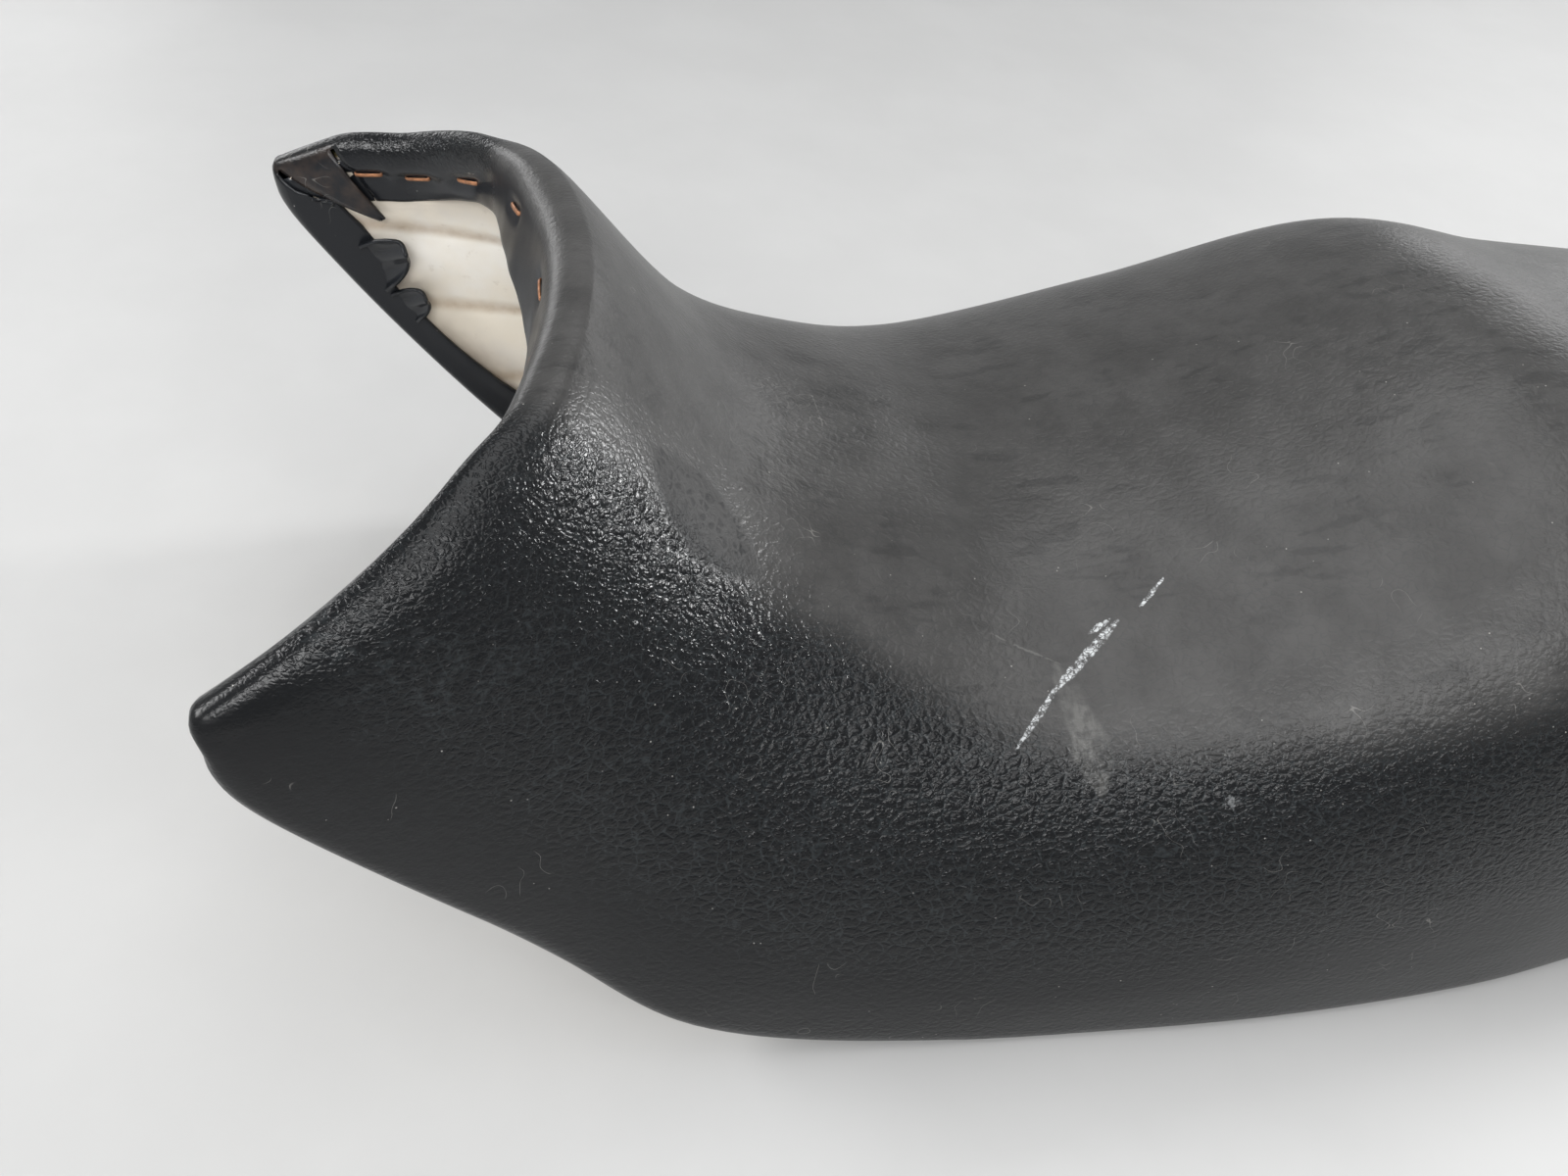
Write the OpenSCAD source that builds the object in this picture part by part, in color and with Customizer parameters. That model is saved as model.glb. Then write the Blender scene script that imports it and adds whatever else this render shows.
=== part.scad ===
// Motorcycle seat for rider and passenger: a stapled vinyl cover over moulded foam on a
// plastic pan, with its tongue, latch striker and rubber bumpers underneath.
// The rider looks towards -Y with +X to the left, and Z = 0 is the rim that rests on a table.

/* [Nose] */
// Width over the two wing tips that hug the tank
nose_w = 244; // [236:1:252]
// Height of the wing tips
tip_h = 143; // [136:1:148]
// How far the middle of the front edge lies behind the tips
arch_deep = 80; // [72:1:86]
// Height of the pommel between the wings
pommel_h = 183; // [177:1:190]

/* [Rider] */
// Distance of the lowest point of the saddle behind the tips
dip_y = 208; // [202:1:214]
// Height of the lowest point of the saddle
dip_h = 121; // [116:1:127]
// Width of the rim at the waist, where the rider's legs go down
waist_w = 246; // [238:1:252]
// Widest width of the rim, under the rider
seat_w = 263; // [256:1:270]

/* [Passenger] */
// Distance of the crest between rider and passenger behind the tips
crest_y = 345; // [338:1:352]
// Height of the crest
crest_h = 165; // [158:1:172]
// Height of the passenger's place
back_h = 145; // [139:1:151]
// Width of the rim under the passenger
back_w = 213; // [206:1:220]
// Whole length of the seat
seat_len = 710; // [698:1:730]

/* [Skins] */
// Thickness of the vinyl
vinyl = 1.2; // [1:0.1:1.6]
// Thickness of the foam at the rim
foam_rim = 6.5; // [5.5:0.5:9]
// Wall of the plastic pan
pan_wall = 3; // [2.6:0.1:3.6]
// Height of the flat of the pan over the rim
pan_h = 78; // [74:1:82]
// Gap between one skin and the next
skin_gap = 0.2; // [0.1:0.05:0.3]
// Width of the hem that is folded in and stapled to the pan
hem_w = 19; // [16:1:22]

/* [Brackets] */
// Radius of the bracket bolts
bolt_r = 3; // [2.5:0.5:4]
// Thickness of the steel plates
steel = 2.5; // [2:0.5:4]
// Width of the front tongue
tongue_w = 40; // [30:1:50]
// Length of the tongue ahead of its plate
tongue_len = 38; // [28:1:46]
// Drop of the tongue below its plate
tongue_drop = 14; // [10:1:18]
// Spacing of the tongue's bolts across and along the seat
tongue_bolts_x = 44; // [38:1:50]
tongue_bolts_y = 30; // [26:1:36]
// Distance of the latch plate's middle from the tail
latch_back = 118; // [112:1:124]
// Spacing of the latch plate's bolts across and along the seat
latch_bolts_x = 58; // [50:1:64]
latch_bolts_y = 34; // [28:1:40]
// Radius of the striker rod
rod_r = 4; // [3:0.5:5]
// Distance between the legs of the striker
striker_w = 32; // [26:1:38]
// Depth of the striker loop below its plate
striker_drop = 30; // [24:1:36]

/* [Bumpers] */
// Radius of a rubber bumper
bumper_r = 13; // [11:0.5:14]
// Height of a rubber bumper below its boss
bumper_h = 20; // [15:1:25]
// Radius of the bumper's stem
stem_r = 4; // [3:0.5:5]
// Half the distance between the bumpers of the front and middle pairs
bumper_x = 55; // [50:1:60]

/* [Staples] */
// Length of a staple's crown
staple_w = 11; // [9:1:13]
// Distance from one staple to the next
staple_pitch = 21; // [18:1:30]

/* [Hidden] */
$fn = 48;

function mix(a, b, u) = a + (b - a) * u;
function clamp(v, low, high) = min(max(v, low), high);
function ease(u) = let (v = clamp(u, 0, 1)) v * v * (3 - 2 * v);

// ---- the shape: cross sections from the nose to the tail, joined by a spline ----
// Middle y and edge y behind the tips, top height, half width, rim height, pan height
heel_y = dip_y - 14;
tail_h = back_h * 0.235;
function rear_y(u) = mix(crest_y, seat_len, u);
SECTIONS = [
  [arch_deep, 0, pommel_h, nose_w / 2, tip_h, pommel_h - foam_rim],
  [arch_deep * 1.1, arch_deep * 0.1, pommel_h, nose_w / 2 + 1, tip_h * 0.82,
    pommel_h - foam_rim - 4],
  [mix(arch_deep, dip_y, 0.36), heel_y / 3, mix(pommel_h, dip_h, 0.65),
    nose_w / 2 - 4, tip_h * 0.37, mix(pommel_h, pan_h, 0.54)],
  [mix(arch_deep, dip_y, 0.69), heel_y * 0.58, mix(pommel_h, dip_h, 0.92),
    waist_w / 2, tip_h * 0.09, mix(pommel_h, pan_h, 0.86)],
  [dip_y, heel_y, dip_h, waist_w / 2 + 5, 0, pan_h],
  [mix(dip_y, crest_y, 0.49), mix(dip_y, crest_y, 0.49), mix(dip_h, crest_h, 0.41),
    seat_w / 2, 0, pan_h],
  [crest_y, crest_y, crest_h, seat_w / 2 - 2, 0, pan_h],
  [rear_y(0.15), rear_y(0.15), mix(crest_h, back_h, 0.25), mix(seat_w, back_w, 0.36) / 2, 0, pan_h],
  [rear_y(0.34), rear_y(0.34), mix(crest_h, back_h, 0.5), mix(seat_w, back_w, 0.65) / 2, 0, pan_h],
  [rear_y(0.59), rear_y(0.59), back_h, back_w / 2, 0, pan_h],
  [rear_y(0.81), rear_y(0.81), back_h * 0.96, back_w * 0.434, 0, pan_h],
  [rear_y(0.945), rear_y(0.945), back_h * 0.79, back_w * 0.36, 0, pan_h * 0.95],
  [seat_len, seat_len, tail_h, back_w * 0.27, 0, tail_h - foam_rim]
];
LAST = len(SECTIONS) - 1;
// How fast the front edge sweeps forward from the pommel into the wings
sweep = 1.8;

function section_at(i) =
  i < 0 ? 2 * SECTIONS[0] - SECTIONS[1] :
  i > LAST ? 2 * SECTIONS[LAST] - SECTIONS[LAST - 1] : SECTIONS[i];

// Catmull-Rom spline through the sections; the rim never goes below the table
function section(s) =
  let (i = min(floor(s), LAST - 1), u = s - i,
    a = section_at(i - 1), b = section_at(i), c = section_at(i + 1), d = section_at(i + 2),
    r = b + 0.5 * u * (c - a + u * (2 * a - 5 * b + 4 * c - d + u * (3 * (b - c) + d - a))))
  [r[0], r[1], r[2], r[3], max(r[4], 0), r[5]];

// One point of a section: t runs from -1 at the right rim over 0 on top to 1 at the left rim,
// along a cubic curve with a flat crown, a soft shoulder and a flank that bulges
function rib_point(s, t, top, side, crown, flank) =
  let (r = section(s), u = abs(t), front = 1 - min(s, 5) / 5, low = r[4],
    bulge = 15 - 31 * front * front,
    x = 3 * u * (1 - u) * (1 - u) * crown * side + 3 * u * u * (1 - u) * (side + bulge)
      + u * u * u * side,
    z = (1 - u) * (1 - u) * (1 + 2 * u) * top
      + 3 * u * u * (1 - u) * (low + flank * (top - low)) + u * u * u * low)
  [sign(t) * x, r[0] - (r[0] - r[1]) * pow(u, sweep) - seat_len / 2, z];

// A point of the cushion's skin, and of the pan's skin, at a depth below its outer face
function cushion_point(s, t, depth = 0) =
  let (r = section(s))
  rib_point(s, t, r[2] - depth, r[3] - depth, mix(0.58, 0.77, min(s, 5) / 5), 0.73);

function pan_point(s, t, depth = 0) =
  let (r = section(s), k = ease(s / 4))
  rib_point(s, t, r[5] - depth, r[3] - foam_rim - depth, mix(0.58, 0.9, k), mix(0.73, 0.85, k));

// ---- grids: rows from nose to tail, columns from rim to rim ----
// A hem is measured in rows at the nose and the tail, and in columns along the sides
nose_hem = hem_w / 16;
side_hem = hem_w / 76;
tail_hem = hem_w / 76;
ROWS = [
  for (i = [0:6]) nose_hem * i / 6,
  for (i = [4:35]) if (i / 3 > nose_hem + 0.1) i / 3,
  for (i = [3:-1:0]) LAST - tail_hem * i / 3
];
COLUMNS = [for (i = [-12:12]) i / 12];
// Where what lies inside the cover begins and ends, in rows and in columns
inner_nose = 0.12;
inner_tail = 0.02;
inner_rim = 0.02;
function inside_row(s) = mix(inner_nose, LAST - inner_tail, s / LAST);
function inside_column(t) = t * (1 - inner_rim);

// Two triangles for each square of four corners, seen from outside and from inside
function outer_square(q) = [[q[0], q[1], q[2]], [q[0], q[2], q[3]]];
function inner_square(q, n) =
  [[q[0] + n, q[2] + n, q[1] + n], [q[0] + n, q[3] + n, q[2] + n]];
function edge_square(p, q, n) = [[q, p, p + n], [q, p + n, q + n]];

// A closed solid between two grids of the same size
module slab(outer, inner) {
  rows = len(outer);
  cols = len(outer[0]);
  n = rows * cols;
  points = [for (g = [outer, inner]) for (row = g) each row];
  squares = [for (i = [0:rows - 2]) for (j = [0:cols - 2])
    [i * cols + j, (i + 1) * cols + j, (i + 1) * cols + j + 1, i * cols + j + 1]];
  edges = [
    for (i = [0:rows - 2]) each [[i * cols, (i + 1) * cols],
      [(i + 2) * cols - 1, (i + 1) * cols - 1]],
    for (j = [0:cols - 2]) each [[j + 1, j], [n - cols + j, n - cols + j + 1]]
  ];
  faces = [
    for (q = squares) each outer_square(q),
    for (q = squares) each inner_square(q, n),
    for (e = edges) each edge_square(e[0], e[1], n)
  ];
  polyhedron(points, faces, convexity = 8);
}

// ---- the soft parts and the pan ----
foam_depth = vinyl + skin_gap;
hem_near = pan_wall + 3 * skin_gap;
hem_far = hem_near + vinyl;

// Hems taper towards the corners, so that they meet there like a mitre
function side_hem_at(s) = side_hem * clamp(min(s / nose_hem, (LAST - s) / 0.4) * 0.9, 0.06, 1);
function nose_hem_at(t) = nose_hem * clamp((1 - abs(t)) / side_hem * 0.8, 0, 1);
function tail_hem_at(t) = tail_hem * clamp((1 - abs(t)) / side_hem * 0.8, 0, 1);

// The foam and the pan stop a little short of the fold in the vinyl
function core_row(s) = clamp(inside_row(s), 2 * inner_nose, LAST - 2.5 * inner_tail);
function core_column(t) = clamp(inside_column(t), 2.5 * inner_rim - 1, 1 - 2.5 * inner_rim);
function skin_grid(depth) =
  [for (s = ROWS) [for (t = COLUMNS)
    cushion_point(core_row(s), core_column(t), depth + (abs(t) == 1 ? 0.3 : 0))]];
function pan_grid(depth) =
  [for (s = ROWS) [for (t = COLUMNS) pan_point(core_row(s), core_column(t), depth)]];

// The vinyl is one sheet: over the cushion, round the rim and back under the pan as a hem.
// Its two faces have the same grid, so one function makes both.
HEM_STEPS = 3;
function sheet_row(s, outside) =
  let (hem_depth = outside ? hem_far : hem_near, skin_depth = outside ? 0 : vinyl,
    row = outside ? s : inside_row(s), k = outside ? 1 : 1 - inner_rim)
  [for (q = [HEM_STEPS:-1:0]) pan_point(row, k * (side_hem_at(s) * q / HEM_STEPS - 1), hem_depth),
   for (t = COLUMNS) cushion_point(row, k * t, skin_depth),
   for (q = [0:HEM_STEPS]) pan_point(row, k * (1 - side_hem_at(s) * q / HEM_STEPS), hem_depth)];

// The strip that folds in at the nose or the tail starts one column in from each corner
STRIP = [for (j = [1:len(COLUMNS) - 2]) COLUMNS[j]];
function strip_rows(at_nose, outside) =
  [for (q = [0:HEM_STEPS]) [for (t = STRIP)
    let (s = at_nose ? nose_hem_at(t) * q / HEM_STEPS : LAST - tail_hem_at(t) * q / HEM_STEPS)
    pan_point(outside ? s : inside_row(s), outside ? t : inside_column(t),
      outside ? hem_far : hem_near)]];

module seat_cover() {
  rows = len(ROWS);
  cols = len(COLUMNS) + 2 * (HEM_STEPS + 1);
  wide = len(STRIP);
  steps = HEM_STEPS + 1;
  first = HEM_STEPS + 2;
  body = rows * cols;
  n = body + 2 * steps * wide;
  function nose_at(r, j) = r == 0 ? first + j : body + (r - 1) * wide + j;
  function tail_at(r, j) =
    r == 0 ? (rows - 1) * cols + first + j : body + (steps + r - 1) * wide + j;
  squares = [
    for (i = [0:rows - 2]) for (j = [0:cols - 2])
      [i * cols + j, (i + 1) * cols + j, (i + 1) * cols + j + 1, i * cols + j + 1],
    for (r = [0:steps - 1]) for (j = [0:wide - 2]) each [
      [nose_at(r + 1, j), nose_at(r, j), nose_at(r, j + 1), nose_at(r + 1, j + 1)],
      [tail_at(r, j), tail_at(r + 1, j), tail_at(r + 1, j + 1), tail_at(r, j + 1)]]
  ];
  open_columns = [for (j = [0:cols - 2]) if (j < first || j > first + wide - 2) j];
  edges = [
    for (i = [0:rows - 2]) each [[i * cols, (i + 1) * cols],
      [(i + 2) * cols - 1, (i + 1) * cols - 1]],
    for (j = open_columns) each [[j + 1, j], [body - cols + j, body - cols + j + 1]],
    for (r = [0:steps - 1]) each [
      [nose_at(r + 1, 0), nose_at(r, 0)], [nose_at(r, wide - 1), nose_at(r + 1, wide - 1)],
      [tail_at(r, 0), tail_at(r + 1, 0)], [tail_at(r + 1, wide - 1), tail_at(r, wide - 1)]],
    for (j = [0:wide - 2]) each [
      [nose_at(steps, j + 1), nose_at(steps, j)], [tail_at(steps, j), tail_at(steps, j + 1)]]
  ];
  points = [for (outside = [true, false]) each [
    for (s = ROWS) each sheet_row(s, outside),
    for (at_nose = [true, false]) for (row = strip_rows(at_nose, outside)) each row]];
  faces = [
    for (q = squares) each outer_square(q),
    for (q = squares) each inner_square(q, n),
    for (e = edges) each edge_square(e[0], e[1], n)
  ];
  color("#26282b") polyhedron(points, faces, convexity = 10);
}

module foam_cushion() {
  color("#d9c98f") difference() {
    slab(skin_grid(foam_depth), pan_grid(0));
    for (p = nut_places) at_pan(p, -3) cylinder(r = nut_r + 0.4, h = 3 + nut_h + 0.3);
    for (p = bumper_places) {
      at_pan(p, -4) cylinder(r = stem_r + 3, h = 4 + head_h + 0.3);
      at_pad(p) cylinder(r = bumper_r + 1.3, h = pad_top - pad_z + 0.3);
    }
  }
}

// ---- the pan ----
// Pads under the pan give the brackets and bumpers a flat seat at one height
pad_z = pan_h - skin_gap - pan_wall - 5;
pad_top = pan_h - skin_gap - pan_wall;
rib_h = 8;
rib_w = 60;
rib_thick = 3;
nut_r = 3 * bolt_r;
nut_h = 1.4;
barrel_r = bolt_r + 1.3;
barrel_h = 7;
head_h = 3;

// Margin of a plate round its bolts
rim_margin = 12;
tongue_y = dip_y + 45;
latch_y = seat_len - latch_back;
front_pair_y = tongue_y + 55;
middle_pair_y = mix(crest_y, latch_y, 0.53);
rear_pair_y = latch_y + latch_bolts_y / 2 + rim_margin + bumper_r + 2;
rib_places = [for (i = [0:3]) mix(crest_y, latch_y, i / 4)];

function corners(x, y, dx, dy) = [for (i = [-1, 1]) for (j = [-1, 1]) [x + i * dx / 2, y + j * dy / 2]];
tongue_places = corners(0, tongue_y, tongue_bolts_x, tongue_bolts_y);
latch_places = corners(0, latch_y, latch_bolts_x, latch_bolts_y);
nut_places = concat(tongue_places, latch_places);
// Each pair: the left one at +X, because the rider looks towards -Y
bumper_places = [
  for (p = [[bumper_x, front_pair_y], [bumper_x - 8, middle_pair_y], [bumper_x - 23, rear_pair_y]])
    each [p, [-p[0], p[1]]]
];

module at_pan(p, z) translate([p[0], p[1] - seat_len / 2, pan_h + z]) children();
module at_pad(p, z = 0) translate([p[0], p[1] - seat_len / 2, pad_z + z]) children();

module seat_pan() {
  color("#e8ddc6") difference() {
    union() {
      slab(pan_grid(skin_gap), pan_grid(skin_gap + pan_wall));
      for (p = nut_places) at_pad(p) cylinder(r = nut_r, h = pad_top - pad_z + pan_wall / 3);
      for (p = bumper_places) at_pad(p) cylinder(r = bumper_r + 1, h = pad_top - pad_z);
      for (y = rib_places) at_pad([0, y], pad_top - pad_z - rib_h)
        translate([-rib_w / 2, -rib_thick / 2, 0]) cube([rib_w, rib_thick, rib_h]);
    }
    for (p = nut_places) at_pad(p, -1) cylinder(r = barrel_r + 0.2, h = 12);
    for (p = bumper_places) at_pad(p, -1) cylinder(r = stem_r + 0.15, h = 12);
  }
}

// ---- brackets ----
washer_h = 1.5;
bolt_head_h = 5;
nut_z = -skin_gap;

module bolt_holes(places) for (p = places) at_pad(p, -steel - 1) cylinder(r = bolt_r + 0.4, h = steel + 2);

// A steel plate under the pads, with a margin round its bolts
module plate(y, dx, dy) {
  w = dx + 2 * rim_margin;
  l = dy + 2 * rim_margin;
  corner = 8;
  at_pad([0, y], -steel) linear_extrude(steel) union() {
    square([w - 2 * corner, l], center = true);
    square([w, l - 2 * corner], center = true);
    for (p = corners(0, 0, w - 2 * corner, l - 2 * corner)) translate(p) circle(corner);
  }
}

module tee_nuts(places) color("#b9bcc0") for (p = places) at_pan(p, nut_z) difference() {
  union() {
    cylinder(r = nut_r, h = nut_h);
    translate([0, 0, -barrel_h]) cylinder(r = barrel_r, h = barrel_h + 0.1);
  }
  translate([0, 0, -9]) cylinder(r = bolt_r + 0.05, h = 12);
}

module washers(places) color("#c4c7ca") for (p = places) at_pad(p, -steel - washer_h) difference() {
  cylinder(r = 2 * bolt_r, h = washer_h);
  translate([0, 0, -1]) cylinder(r = bolt_r + 0.2, h = washer_h + 2);
}

// Hexagon bolts from below, up through washer, plate and pad into the tee nuts
module bolts(places) color("#b4b7bb") for (p = places) at_pad(p, -steel - washer_h) {
  shank_h = pan_h + nut_z + nut_h - pad_z + steel + washer_h;
  cylinder(r = bolt_r, h = shank_h);
  translate([0, 0, -bolt_head_h]) cylinder(r = bolt_r * 1.9, h = bolt_head_h, $fn = 6);
}

module front_tongue() {
  front = tongue_y - tongue_bolts_y / 2 - rim_margin;
  back = front + rim_margin;
  nose = front - tongue_drop - tongue_len;
  corner = 9;
  color("#3a3c3f") difference() {
    union() {
      plate(tongue_y, tongue_bolts_x, tongue_bolts_y);
      // The web slopes down from the plate to the tongue
      at_pad([0, 0]) rotate([90, 0, 90]) translate([0, 0, -tongue_w / 2]) linear_extrude(tongue_w)
        polygon([[back, 0], [front, 0], [front - tongue_drop, -tongue_drop],
          [nose + corner, -tongue_drop], [nose + corner, -tongue_drop - steel],
          [front - tongue_drop + steel * 0.4, -tongue_drop - steel],
          [front + steel * 0.4, -steel], [back, -steel]]);
      // The end of the tongue has round corners
      at_pad([0, nose], -tongue_drop - steel) linear_extrude(steel) union() {
        translate([corner - tongue_w / 2, 0]) square([tongue_w - 2 * corner, corner + 1]);
        for (i = [-1, 1]) translate([i * (tongue_w / 2 - corner), corner]) circle(corner);
      }
    }
    bolt_holes(tongue_places);
  }
}

module tongue_bolts() bolts(tongue_places);
module tongue_washers() washers(tongue_places);
module tongue_tee_nuts() tee_nuts(tongue_places);

module latch_plate() color("#3a3c3f") difference() {
  plate(latch_y, latch_bolts_x, latch_bolts_y);
  bolt_holes(latch_places);
}

// A bent rod with two welded legs that the lock on the motorcycle grips
module latch_striker() {
  bend = 2 * rod_r;
  leg = striker_drop - bend - rod_r;
  color("#c9ccd0") at_pad([0, latch_y], -steel) {
    for (side = [0, 1]) mirror([side, 0, 0]) {
      translate([striker_w / 2, 0, -leg]) cylinder(r = rod_r, h = leg);
      translate([striker_w / 2, 0, -2.5]) cylinder(r1 = rod_r, r2 = rod_r + 2.5, h = 2.5);
      translate([striker_w / 2 - bend, 0, -leg]) rotate([-90, 0, 0])
        rotate_extrude(angle = 90) translate([bend, 0]) circle(rod_r);
    }
    translate([bend - striker_w / 2, 0, -leg - bend]) rotate([0, 90, 0])
      cylinder(r = rod_r, h = striker_w - 2 * bend);
  }
}

module latch_bolts() bolts(latch_places);
module latch_washers() washers(latch_places);
module latch_tee_nuts() tee_nuts(latch_places);

// ---- rubber bumpers that stand on the motorcycle's frame ----
module bumper(p) {
  neck = pan_h - 0.4 - pad_z;
  color("#1c1c1d") at_pad(p) rotate_extrude() polygon([
    [0, -bumper_h], [bumper_r - 3, -bumper_h], [bumper_r - 1.5, 1.5 - bumper_h],
    [bumper_r, -3], [bumper_r, 0], [stem_r, 0], [stem_r, neck],
    [stem_r + 2.5, neck], [stem_r, neck + head_h - 0.5], [0, neck + head_h - 0.5]]);
}

module front_left_bumper() bumper(bumper_places[0]);
module front_right_bumper() bumper(bumper_places[1]);
module middle_left_bumper() bumper(bumper_places[2]);
module middle_right_bumper() bumper(bumper_places[3]);
module rear_left_bumper() bumper(bumper_places[4]);
module rear_right_bumper() bumper(bumper_places[5]);

// ---- staples ----
wire = 1;
wire_h = 0.6;
staple_clear = 0.8;
leg_clear = 0.5;
// Half the distance between two rows and between two columns of the hem's facets
half_row = 1 / 6;
half_column = 1 / 24;
function unit(v) = v / norm(v);
function total(v, i = 0) = i == len(v) ? 0 : v[i] + total(v, i + 1);
function hem_point(s, t) = pan_point(s, t, hem_far);
// How far the hollow hem stands up at a distance ds, dt to both sides of a point
function rise(s, t, ds, dt, out) =
  max(0, (hem_point(s, t) - (hem_point(s + ds, t + dt) + hem_point(s - ds, t - dt)) / 2) * out);

// A staple on the hem at one point of the pan, with its straight crown along the rim
module staple(s, t, along_nose) {
  d = 0.02;
  dx = hem_point(s, t + d) - hem_point(s, t - d);
  dy = hem_point(s + d, t) - hem_point(s - d, t);
  across = unit(dx);
  out = unit(cross(across, unit(dy)));
  along = along_nose ? across : unit(cross(out, across));
  side = cross(out, along);
  reach = d * staple_w / norm(along_nose ? dx : dy);
  lift = staple_clear + (along_nose
    ? rise(s, t, 0, reach, out) + rise(s, t, 0, half_column, out)
    : rise(s, t, reach, 0, out) + rise(s, t, half_row, 0, out));
  p = hem_point(s, t) - lift * out;
  place = [for (i = [0:2]) [along[i], side[i], out[i], p[i]]];
  multmatrix(concat(place, [[0, 0, 0, 1]])) translate([-staple_w / 2, -wire / 2, -wire_h]) union() {
    cube([staple_w, wire, wire_h]);
    for (x = [0, staple_w - wire_h]) translate([x, 0, 0])
      cube([wire_h, wire, wire_h + staple_clear - leg_clear]);
  }
}

// The middle line of each hem, with a place from 0 to 1 along it: row and column
function nose_place(u) = let (t = mix(-0.76, 0.76, u)) [nose_hem_at(t) / 2, t];
function side_place(u, side) = [mix(1.6, LAST - 1, u), side * (1 - side_hem / 2)];
function tail_place(u) = [LAST - tail_hem / 2, mix(-0.5, 0.5, u)];
// How many staples a line of places needs
function staples_on(places) = round(total([for (i = [1:len(places) - 1])
  norm(hem_point(places[i][0], places[i][1]) - hem_point(places[i - 1][0], places[i - 1][1]))])
  / staple_pitch);
STEPS = [for (i = [0:40]) i / 40];

module nose_staples() {
  count = staples_on([for (u = STEPS) nose_place(u)]);
  color("#b4703f") for (i = [0:count - 1]) let (p = nose_place(i / (count - 1)))
    staple(p[0], p[1], true);
}

module side_staples(side) {
  count = staples_on([for (u = STEPS) side_place(u, side)]);
  color("#b4703f") for (i = [0:count - 1]) let (p = side_place(i / (count - 1), side))
    staple(p[0], p[1], false);
}

module left_staples() side_staples(1);
module right_staples() side_staples(-1);

module tail_staples() {
  count = staples_on([for (u = STEPS) tail_place(u)]);
  color("#b4703f") for (i = [0:count - 1]) let (p = tail_place(i / (count - 1)))
    staple(p[0], p[1], true);
}

seat_cover();
foam_cushion();
seat_pan();
nose_staples();
left_staples();
right_staples();
tail_staples();
front_tongue();
tongue_bolts();
tongue_washers();
tongue_tee_nuts();
latch_plate();
latch_striker();
latch_bolts();
latch_washers();
latch_tee_nuts();
front_left_bumper();
front_right_bumper();
middle_left_bumper();
middle_right_bumper();
rear_left_bumper();
rear_right_bumper();
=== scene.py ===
import math
import bpy
import numpy as np
from mathutils import Matrix, Vector


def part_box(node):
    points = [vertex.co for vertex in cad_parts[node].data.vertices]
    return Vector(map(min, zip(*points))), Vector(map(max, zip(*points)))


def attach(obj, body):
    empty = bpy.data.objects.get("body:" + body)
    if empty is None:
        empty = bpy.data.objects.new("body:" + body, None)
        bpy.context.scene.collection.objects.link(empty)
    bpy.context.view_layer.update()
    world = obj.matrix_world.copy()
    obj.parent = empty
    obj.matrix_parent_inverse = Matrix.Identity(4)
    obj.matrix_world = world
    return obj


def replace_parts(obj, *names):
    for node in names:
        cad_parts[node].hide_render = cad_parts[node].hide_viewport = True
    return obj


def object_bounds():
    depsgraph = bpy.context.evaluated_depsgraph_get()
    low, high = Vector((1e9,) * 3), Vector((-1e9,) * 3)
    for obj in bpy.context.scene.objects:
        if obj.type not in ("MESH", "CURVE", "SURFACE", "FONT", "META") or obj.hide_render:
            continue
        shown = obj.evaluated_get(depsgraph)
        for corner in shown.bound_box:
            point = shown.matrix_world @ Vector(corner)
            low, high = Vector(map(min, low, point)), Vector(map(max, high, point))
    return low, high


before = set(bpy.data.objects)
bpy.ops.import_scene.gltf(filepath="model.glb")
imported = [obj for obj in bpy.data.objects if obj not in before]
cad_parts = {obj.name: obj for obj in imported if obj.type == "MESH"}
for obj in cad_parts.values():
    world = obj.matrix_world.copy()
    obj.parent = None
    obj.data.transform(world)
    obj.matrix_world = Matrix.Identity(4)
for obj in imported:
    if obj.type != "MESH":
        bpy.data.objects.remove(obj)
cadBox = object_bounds()
mm = 0.001
print("frame loaded:", len(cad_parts), "nodes")

# Camera at the height of someone who looks down on the seat's left side
viewpoint = {
    "place": (0.31973, -0.29991, 0.35345),
    "turn": 73.51,     # degrees round the seat
    "down": 41.09,     # degrees below the horizon
    "roll": 8.23,
    "lens": 32.28,
}


def makeCamera():
    # Looks ahead along two angles, and its right and up directions turn by the roll
    turn, down, roll = (math.radians(viewpoint[k]) for k in ("turn", "down", "roll"))
    ahead = Vector((-math.sin(turn) * math.cos(down), math.cos(turn) * math.cos(down), -math.sin(down)))
    right = ahead.cross(Vector((0, 0, 1))).normalized()
    up = right.cross(ahead)
    tiltedRight = math.cos(roll) * right + math.sin(roll) * up
    tiltedUp = math.cos(roll) * up - math.sin(roll) * right
    data = bpy.data.cameras.new("viewpoint")
    data.lens = viewpoint["lens"]
    data.sensor_width = 36
    data.clip_start = 0.01
    camera = bpy.data.objects.new("viewpoint", data)
    bpy.context.scene.collection.objects.link(camera)
    axes = Matrix((tiltedRight, tiltedUp, -ahead)).transposed().to_4x4()
    camera.matrix_world = Matrix.Translation(viewpoint["place"]) @ axes
    bpy.context.scene.camera = camera


makeCamera()


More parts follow.
